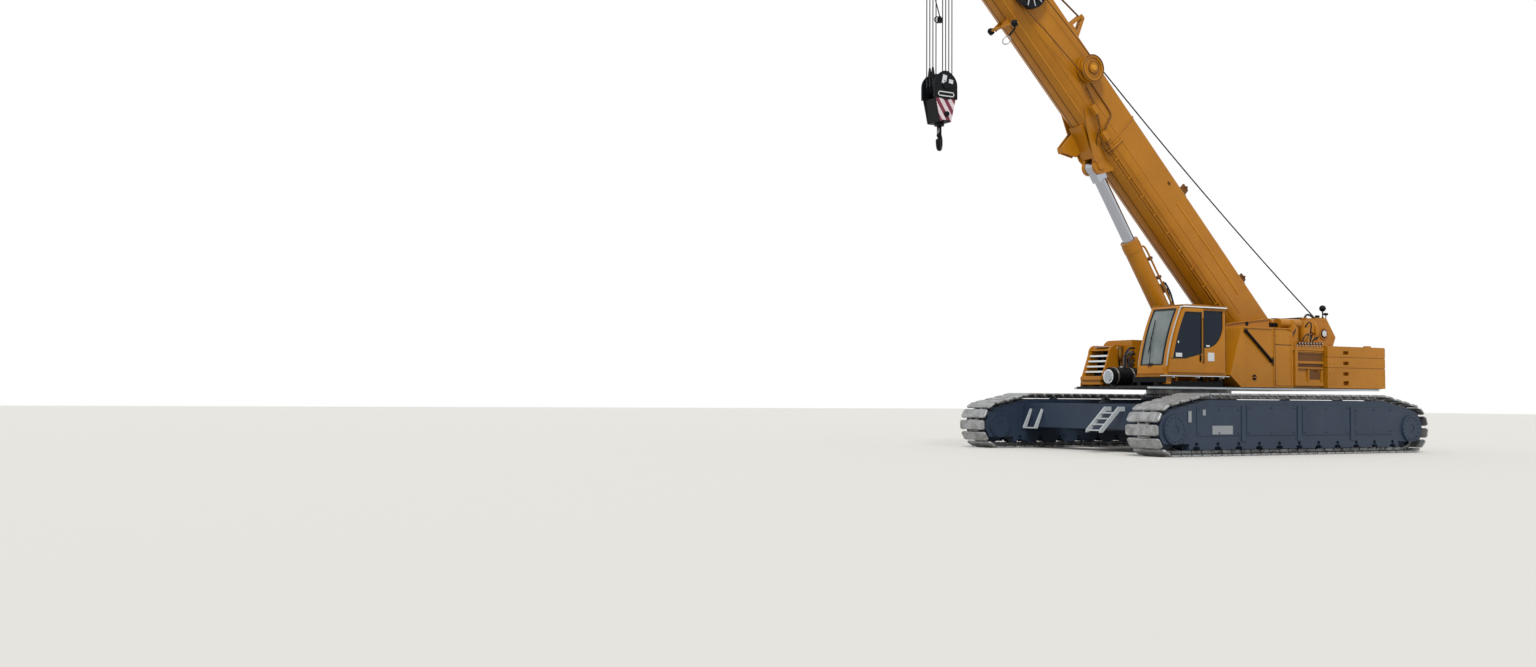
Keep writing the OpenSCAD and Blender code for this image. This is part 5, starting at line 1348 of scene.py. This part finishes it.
def dressWinch(settings):
    makeDeckPiece("winchDisc", "superstructure", "plate", rods=settings["disc"])
    makeDeckPiece("winchBrackets", "superstructure", "black", settings["boxes"], settings["post"], smooth=True)
    x, z = settings["hub"]
    spots = [(x + dx, settings["side"], z + dz) for dx, dz in circlePoints(settings["circle"], 10)]
    spots += [(x, settings["frameSide"], z) for x, z in settings["frameBolts"]]
    bolts = [(onDeck(x, e * y, z), (0, e, 0)) for x, y, z in spots for e in (1, -1)]
    makeBolts("winchBolts", "superstructure", "gold", settings["bolt"], 0.018, bolts)


frontLooks = {
    "tank": (-0.51, 1.69),
    "endRadius": 0.165,
    "faceInset": (0.035, 0.055),
    "bolts": 12,
    "hose": 0.026,
    "hoses": [
        [(1.19, -0.53, 2.36), (1.34, -0.53, 2.35), (1.47, -0.53, 2.20), (1.50, -0.53, 1.90)],
        [(1.19, -0.52, 2.22), (1.29, -0.52, 2.22), (1.36, -0.52, 2.10), (1.37, -0.52, 1.90)],
        [(1.19, -0.53, 2.07), (1.25, -0.53, 2.06), (1.28, -0.53, 1.98), (1.28, -0.53, 1.90)],
    ],
    "airPipe": 0.045,
    "airPipes": [[(1.19, -0.60, 2.25), (1.30, -0.60, 2.25), (1.39, -0.60, 2.18), (1.42, -0.60, 2.05),
                  (1.42, -0.60, 1.88)]],
    "strapRadius": 0.217,
    "straps": (1.38, 1.86),
    # black plates behind the treads, painted shade seen through the gaps between them
    "behindSteps": [((1.242, -1.49, 1.44), (1.262, -0.93, 2.36), 0.002),
                    ((1.26, -1.528, 1.87), (1.41, -1.52, 2.23), 0.002),
                    ((1.50, -1.47, 1.46), (1.56, -0.95, 1.80), 0.004)],
    # pale edge strip over the top tread, and a blank plate on the near side
    "topPlates": [((1.50, -1.44, 2.398), (1.62, -0.99, 2.408), 0.002),
                  ((1.30, -0.849, 2.36), (1.44, -0.844, 2.39), 0.001)],
    # folded beam across the foot of the steps
    "beam": [((1.86, -1.46, 1.60), (2.03, -0.76, 1.70), 0.016),
             ((1.86, -1.42, 1.50), (2.00, -0.80, 1.57), 0.010),
             ((1.84, -1.40, 1.56), (1.98, -0.82, 1.61), 0.004)],
    "houseRibs": [((x, -1.602, 1.62), (x + 0.02, -1.594, 2.20), 0.002)
                  for x in [-1.95 + i * 0.14 for i in range(9)]],
}


def dressFront(settings):
    y, z = settings["tank"]
    radius = settings["endRadius"]
    # flanged rim of the tank's end with a small cock below it
    makeDeckPiece("tankEndRim", "superstructure", "tread", rods=[
        ((2.012, y, z), (2.026, y, z), radius, 40),
        ((2.020, y, z - 0.12), (2.05, y, z - 0.12), 0.022, 12)])
    wide, narrow = (radius - inset for inset in settings["faceInset"])
    makeDeckPiece("tankEndFace", "superstructure", "mirror", smooth=True,
                  rods=[((2.024, y, z), (2.040, y, z), wide, 40, narrow)])
    bolts = [(onDeck(2.028, y + dy, z + dz), (1, 0, 0))
             for dy, dz in circlePoints(radius - 0.018, settings["bolts"])]
    makeBolts("tankEndBolts", "superstructure", "zinc", 0.010, 0.012, bolts)
    makeHoses("frontHoses", "superstructure", "rubber", settings["hose"], deckLines(settings["hoses"]))
    airPipes = deckLines(settings["airPipes"])
    makeHoses("airPipe", "superstructure", "exhaust", settings["airPipe"], airPipes, sides=20)
    makeDeckPiece("tankStraps", "superstructure", "zinc", rods=[
        ((1.60, y, 1.895), (1.60, y, 1.935), 0.05, 16),
        *(((x, y, z), (x + 0.04, y, z), settings["strapRadius"], 32) for x in settings["straps"])])
    makeDeckPiece("stepsBackPlate", "superstructure", "black", settings["behindSteps"])
    makeDeckPiece("stepsPlates", "superstructure", "plate", settings["topPlates"])
    makeDeckPiece("stepsBeam", "superstructure", "gold", settings["beam"])
    makeDeckPiece("houseRibs", "superstructure", "gold", settings["houseRibs"])


dressPanels(panelLooks)
dressGuards(guardLooks)
dressMachinery(machineryLooks)
dressWinch(winchLooks)
dressFront(frontLooks)
print("superstructure dressed")

# hoist rope

ropeLooks = {
    "radius": 0.016,
    "winch": (-4.35, 0.24, 3.02),
    "join": 0.25,
    "rigid": 0.45,
    "guide": (8.70, 0.22, 0.44),
    "roller": {"half": (0.10, 0.06), "down": 0.045, "radius": 0.028, "plates": (-0.10, 0.055)},
    "sag": 0.15,
    "collar": (10.72, 0.18, 0.425),
    "step": 0.165,
    "aside": 0.014,
    "drop": 0.012,
    # the arc over the top sheave, and the point where the rope meets the head sheave
    "arc": {"radius": 0.227, "side": 0.11, "from": 90, "by": 15, "count": 7},
    "headSheave": (0.262, 0.093, 0.10),
}


def makeRope(settings):
    radius = settings["radius"]
    winch = onDeck(*settings["winch"])
    guide = onBoom(*settings["guide"])
    share = settings["join"]

    def hang(t):
        # point of the slack run between the winch and the boom's top edge
        return winch.lerp(guide, t) - Vector((0, 0, settings["sag"] * 4 * t * (1 - t)))
    join = hang(share)

    def run(name, a, b, steps, body=None, pair=None, part=None):
        # a straight run from a to b, or the part of the slack run between two shares of it
        if part:
            path = [hang(part[0] + (part[1] - part[0]) * k / steps) for k in range(steps + 1)]
        else:
            path = [a.lerp(b, k / steps) for k in range(steps + 1)]
        piece = makeHoses(name, body, "rope", radius, [path], sides=10)
        if pair:
            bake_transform(piece)
    run("hoistRopeRear", winch, join, 24, pair=("superstructure", "boom_pin"), part=(0, share))
    run("hoistRopeMiddle", join, guide, 60, pair=("boom_pin", "boom"), part=(share, 1))

    def roller(shape):
        s, y, n = settings["guide"]
        bar = settings["roller"]
        right, left = bar["half"]
        low = n - bar["down"]
        addRod(shape, onBoom(s, y - right, low), onBoom(s, y + left, low), bar["radius"], 16)
        for side in bar["plates"]:
            addBlock(shape, (-0.05, y + side, -0.075), (0.05, y + side + 0.01, 0.02), 0.004,
                     boomFrame(s, n - 0.02))
    makePiece("ropeRoller", "boom", "gold", roller)
    last = onBoom(*settings["collar"])
    run("hoistRopeFront", guide, last, 4, body="boom")
    s, y, n = settings["collar"]
    bodies = ["boom", "section_1", "section_2", "section_3", "section_4", "section_5"]
    for k in range(1, 6):
        following = onBoom(s + settings["step"] * k, y - settings["aside"] * k, n - settings["drop"] * k)
        run("hoistRopeStep" + str(k), last, following, 6, pair=(bodies[k - 1], bodies[k]))
        last = following
    path = [last]
    arc = settings["arc"]
    for k in range(arc["count"]):
        a = math.radians(arc["from"] - arc["by"] * k)
        path.append(topPin + boomAxis * (arc["radius"] * math.cos(a)) + boomUp * (arc["radius"] * math.sin(a))
                    + Vector((0, arc["side"], 0)))
    ahead, side, up = settings["headSheave"]
    path.append(headPin + boomAxis * ahead + boomUp * up + Vector((0, side, 0)))
    makeHoses("hoistRopeHead", "section_5", "rope", radius, [path], sides=10)


makeRope(ropeLooks)

drumLooks = {"radius": 0.252, "half": 0.295, "turns": 22, "perTurn": 20, "wire": 0.0125}


def makeDrumRope(settings):
    path = []
    radius, half, perTurn = settings["radius"], settings["half"], settings["perTurn"]
    total = settings["turns"] * perTurn
    for k in range(total + 1):
        a = math.tau * k / perTurn
        y = -half + 2 * half * k / total
        path.append(drumPin + Vector((radius * math.cos(a), y, radius * math.sin(a))))
    makeHoses("drumRope", "winch_drum", "rope", settings["wire"], [path], sides=8)


makeDrumRope(drumLooks)
print("hoist rope led")

# hook block

blockLooks = {
    "pinDown": 0.315,
    "plateInset": 0.015,
    # plates: ahead, up, width, height and turn
    "plates": [(0.045, 0.125, 0.105, 0.195, 12), (-0.125, 0.095, 0.105, 0.085, 8)],
    "frame": (-0.205, 0.205, -0.235, -0.130),
    "frameEdge": 0.022,
    "bands": (0.255, 0.142, -0.272, -0.755),
    "cap": (0.075, 0.022),
    "eye": (-0.02, -0.60, 0.062, 0.05),
    "foot": (0.10, -0.757, -0.735),
    "stiffener": (0.20, 0.03, 0.19, 0.235),
    "wedge": (0.207, 0.055, 0.24, 0.40),
    "pinBolts": (0.105, 8),
    "cornerBolts": [(-0.26, -0.20), (0.26, -0.20), (-0.25, 0.08), (0.25, 0.02)],
}


def tiltedPlate(shape, x, z, width, height, degrees, y0, y1):
    # a small plate turned in its own plane
    a = math.radians(degrees)
    corners = []
    for u, v in ((-1, -1), (1, -1), (1, 1), (-1, 1)):
        du, dv = u * width / 2, v * height / 2
        corners.append((x + du * math.cos(a) - dv * math.sin(a), y0, z + du * math.sin(a) + dv * math.cos(a)))
    addSheet(shape, corners, (0, y1 - y0, 0))


def dressBlock(settings):
    low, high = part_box("hook_block")
    x = (low.x + high.x) / 2
    z = high.z - settings["pinDown"]
    y = high.y

    def plates(shape):
        x0, x1, z0, z1 = settings["frame"]
        edge = settings["frameEdge"]
        bars = [(x0, x1, z0, z0 + edge), (x0, x1, z1 - edge, z1),
                (x0, x0 + edge, z0, z1), (x1 - edge, x1, z0, z1)]
        for e in (-1, 1):
            for dx, dz, width, height, degrees in settings["plates"]:
                tiltedPlate(shape, x + dx, z + dz, width, height, degrees, e * (y - 0.001), e * (y + 0.006))
            near, far = sorted((e * (y - 0.001), e * (y + 0.007)))
            for a, b, c, d in bars:
                addBlock(shape, (x + a, near, z + c), (x + b, far, z + d))
    makePiece("blockPlates", "block", "plate", plates)

    def bands(shape):
        wide, narrow, top, bottom = settings["bands"]
        face = y - settings["plateInset"] - 0.001
        outline = (-wide, top), (wide, top), (narrow, bottom), (-narrow, bottom)
        for e in (-1, 1):
            addSheet(shape, [(x + dx, e * face, z + dz) for dx, dz in outline], (0, e * 0.004, 0))
    makePiece("blockBands", "block", "stripes", bands)

    def dark(shape):
        # pin caps, lifting eye, cheek stiffeners and the wedge sockets that hold the rope's end
        capRadius, capOut = settings["cap"]
        eyeX, eyeZ, eyeRadius, eyeEnd = settings["eye"]
        footHalf, footLow, footHigh = settings["foot"]
        for e in (-1, 1):
            addRod(shape, (x, e * (y - 0.002), z), (x, e * (y + capOut), z), capRadius, 24)
            addRod(shape, (x + eyeX, e * (y - 0.02), z + eyeZ), (x + eyeX, e * (y + 0.03), z + eyeZ),
                   eyeRadius, 20, eyeEnd)
            near, far = sorted((e * (y - 0.02), e * (y + 0.012)))
            addBlock(shape, (x - footHalf, near, z + footLow), (x + footHalf, far, z + footHigh), 0.004)
        ahead, half, bottom, top = settings["stiffener"]
        for a in (-1, 1):
            addBlock(shape, (x + a * ahead - half, -y + 0.05, z + bottom),
                     (x + a * ahead + half, y - 0.05, z + top), 0.01)
        ahead, side, bottom, top = settings["wedge"]
        for k in (-1, 1):
            addRod(shape, (x + ahead, k * side, z + bottom), (x + ahead, k * side, z + top), 0.042, 14, 0.02)
    makePiece("blockPins", "block", "black", dark, smooth=True)
    places = circlePoints(*settings["pinBolts"], 0.5) + settings["cornerBolts"]
    bolts = [((x + dx, e * (y + 0.006), z + dz), (0, e, 0)) for e in (-1, 1) for dx, dz in places]
    makeBolts("blockBolts", "block", "black", 0.013, 0.014, bolts)


hookLooks = {"catchUp": 0.56, "turn": 45, "from": (0.02, 0, -0.06), "to": (0.16, 0, -0.20), "radius": 0.02}


def dressHook(settings):
    # the spring catch across the hook's mouth
    low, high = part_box("load_hook")

    def catch(shape):
        top = Vector(((low.x + high.x) / 2, (low.y + high.y) / 2, low.z + settings["catchUp"]))
        turn = Matrix.Rotation(math.radians(settings["turn"]), 4, "Z")
        start, end = Vector(settings["from"]), Vector(settings["to"])
        addRod(shape, top + turn @ start, top + turn @ end, settings["radius"], 10)
    makePiece("hookCatch", "hook", "zinc", catch)


weightLooks = {
    "x": 0.06, "y": 0.10, "z": 9.13, "radius": 0.058, "ring": 0.065, "link": 0.012,
    "hang": (0.20, -0.36),  # where the chain hangs, from the head's pin
}


def makeRingWeight(settings):
    # small weight on a chain that stops the hook block from running into the head
    x, y, z = headPin.x + settings["x"], settings["y"], settings["z"]

    def weight(shape):
        for dz in (-0.05, 0.0):
            addRod(shape, (x, y, z + dz), (x, y, z + dz + 0.045), settings["radius"], 20)
        addBlock(shape, (x - 0.03, y - 0.02, z + 0.03), (x + 0.03, y + 0.02, z + 0.085), 0.006)
    makePiece("ringWeight", "falls", "black", weight, smooth=True)
    turns = circlePoints(settings["ring"], 18)
    ring = [(x + 0.07 + dx, y, z + dz) for dx, dz in turns + turns[:1]]
    ahead, up = settings["hang"]
    chain = [(x, y, z + 0.07), (x + 0.11, y, z + 0.40), (headPin.x + ahead, y, headPin.z + up)]
    makeHoses("ringChain", "falls", "black", settings["link"], [ring, chain])


dressBlock(blockLooks)
dressHook(hookLooks)
makeRingWeight(weightLooks)
print("hook block dressed")

# the stage: camera, floor and light

view = {
    "place": (23.508, 23.966, 1.130),
    "yaw": -2.083,
    "pitch": 0.046,
    "roll": 0.007,
    "lens": 33.0,
    "sensor": 36.0,
}


def placeCamera(settings):
    yaw, pitch, roll = settings["yaw"], settings["pitch"], settings["roll"]
    ahead = Vector((math.cos(yaw) * math.cos(pitch), math.sin(yaw) * math.cos(pitch), math.sin(pitch)))
    right = Vector((math.sin(yaw), -math.cos(yaw), 0))
    above = right.cross(ahead)
    across = right * math.cos(roll) + above * math.sin(roll)
    upward = above * math.cos(roll) - right * math.sin(roll)
    turn = Matrix((across, upward, -ahead)).transposed().to_4x4()
    camera = bpy.data.objects.new("photoCamera", bpy.data.cameras.new("photoCamera"))
    camera.data.lens = settings["lens"]
    camera.data.sensor_width = settings["sensor"]
    camera.data.clip_end = 400
    camera.matrix_world = Matrix.Translation(Vector(settings["place"])) @ turn
    bpy.context.scene.collection.objects.link(camera)
    bpy.context.scene.camera = camera


studio = {
    "floorColour": "#d2cfc9",
    "skyLight": 0.75,
    "sunPower": 2.3,
    "sunSoftness": 12.0,
    "sunFrom": (0.55, 0.62, 0.95),
}


def placeStudio(settings):
    ground = bmesh.new()
    bmesh.ops.create_grid(ground, x_segments=1, y_segments=1, size=120)
    mesh = bpy.data.meshes.new("studioFloor")
    ground.to_mesh(mesh)
    ground.free()
    floor = bpy.data.objects.new("studioFloor", mesh)
    bpy.context.scene.collection.objects.link(floor)
    # smooth pale concrete, kept plain so that the shadow reads
    material, _, skin, _ = newMaterial("paleConcreteFloor")
    skin.inputs["Base Color"].default_value = srgb(settings["floorColour"])
    skin.inputs["Roughness"].default_value = 0.9
    floor.data.materials.append(material)
    sun = bpy.data.objects.new("softSun", bpy.data.lights.new("softSun", "SUN"))
    sun.data.energy = settings["sunPower"]
    sun.data.angle = math.radians(settings["sunSoftness"])
    sun.matrix_world = Vector(settings["sunFrom"]).to_track_quat("Z", "Y").to_matrix().to_4x4()
    bpy.context.scene.collection.objects.link(sun)
    world = bpy.data.worlds.new("studioLight")
    world.use_nodes = True
    bpy.context.scene.world = world
    tree = world.node_tree
    tree.nodes.clear()
    rays = addNode(tree, "ShaderNodeLightPath")
    first = addNode(tree, "ShaderNodeMath", {
        0: rays.outputs["Is Camera Ray"], 1: rays.outputs["Is Transmission Ray"]}, operation="ADD", use_clamp=True)
    seen = addNode(tree, "ShaderNodeMath", {0: first.outputs[0], 1: rays.outputs["Is Glossy Ray"]},
                   operation="ADD", use_clamp=True)
    lit = addNode(tree, "ShaderNodeBackground", {"Color": srgb("#eef0f2"), "Strength": settings["skyLight"]})
    white = addNode(tree, "ShaderNodeBackground", {"Color": (1, 1, 1, 1), "Strength": 1.0})
    both = addNode(tree, "ShaderNodeMixShader", {
        "Fac": seen.outputs[0], 1: lit.outputs[0], 2: white.outputs[0]})
    addNode(tree, "ShaderNodeOutputWorld", {0: both.outputs[0]})


placeCamera(view)
placeStudio(studio)
bpy.context.scene.view_settings.view_transform = "Standard"
print("camera, floor and light placed")
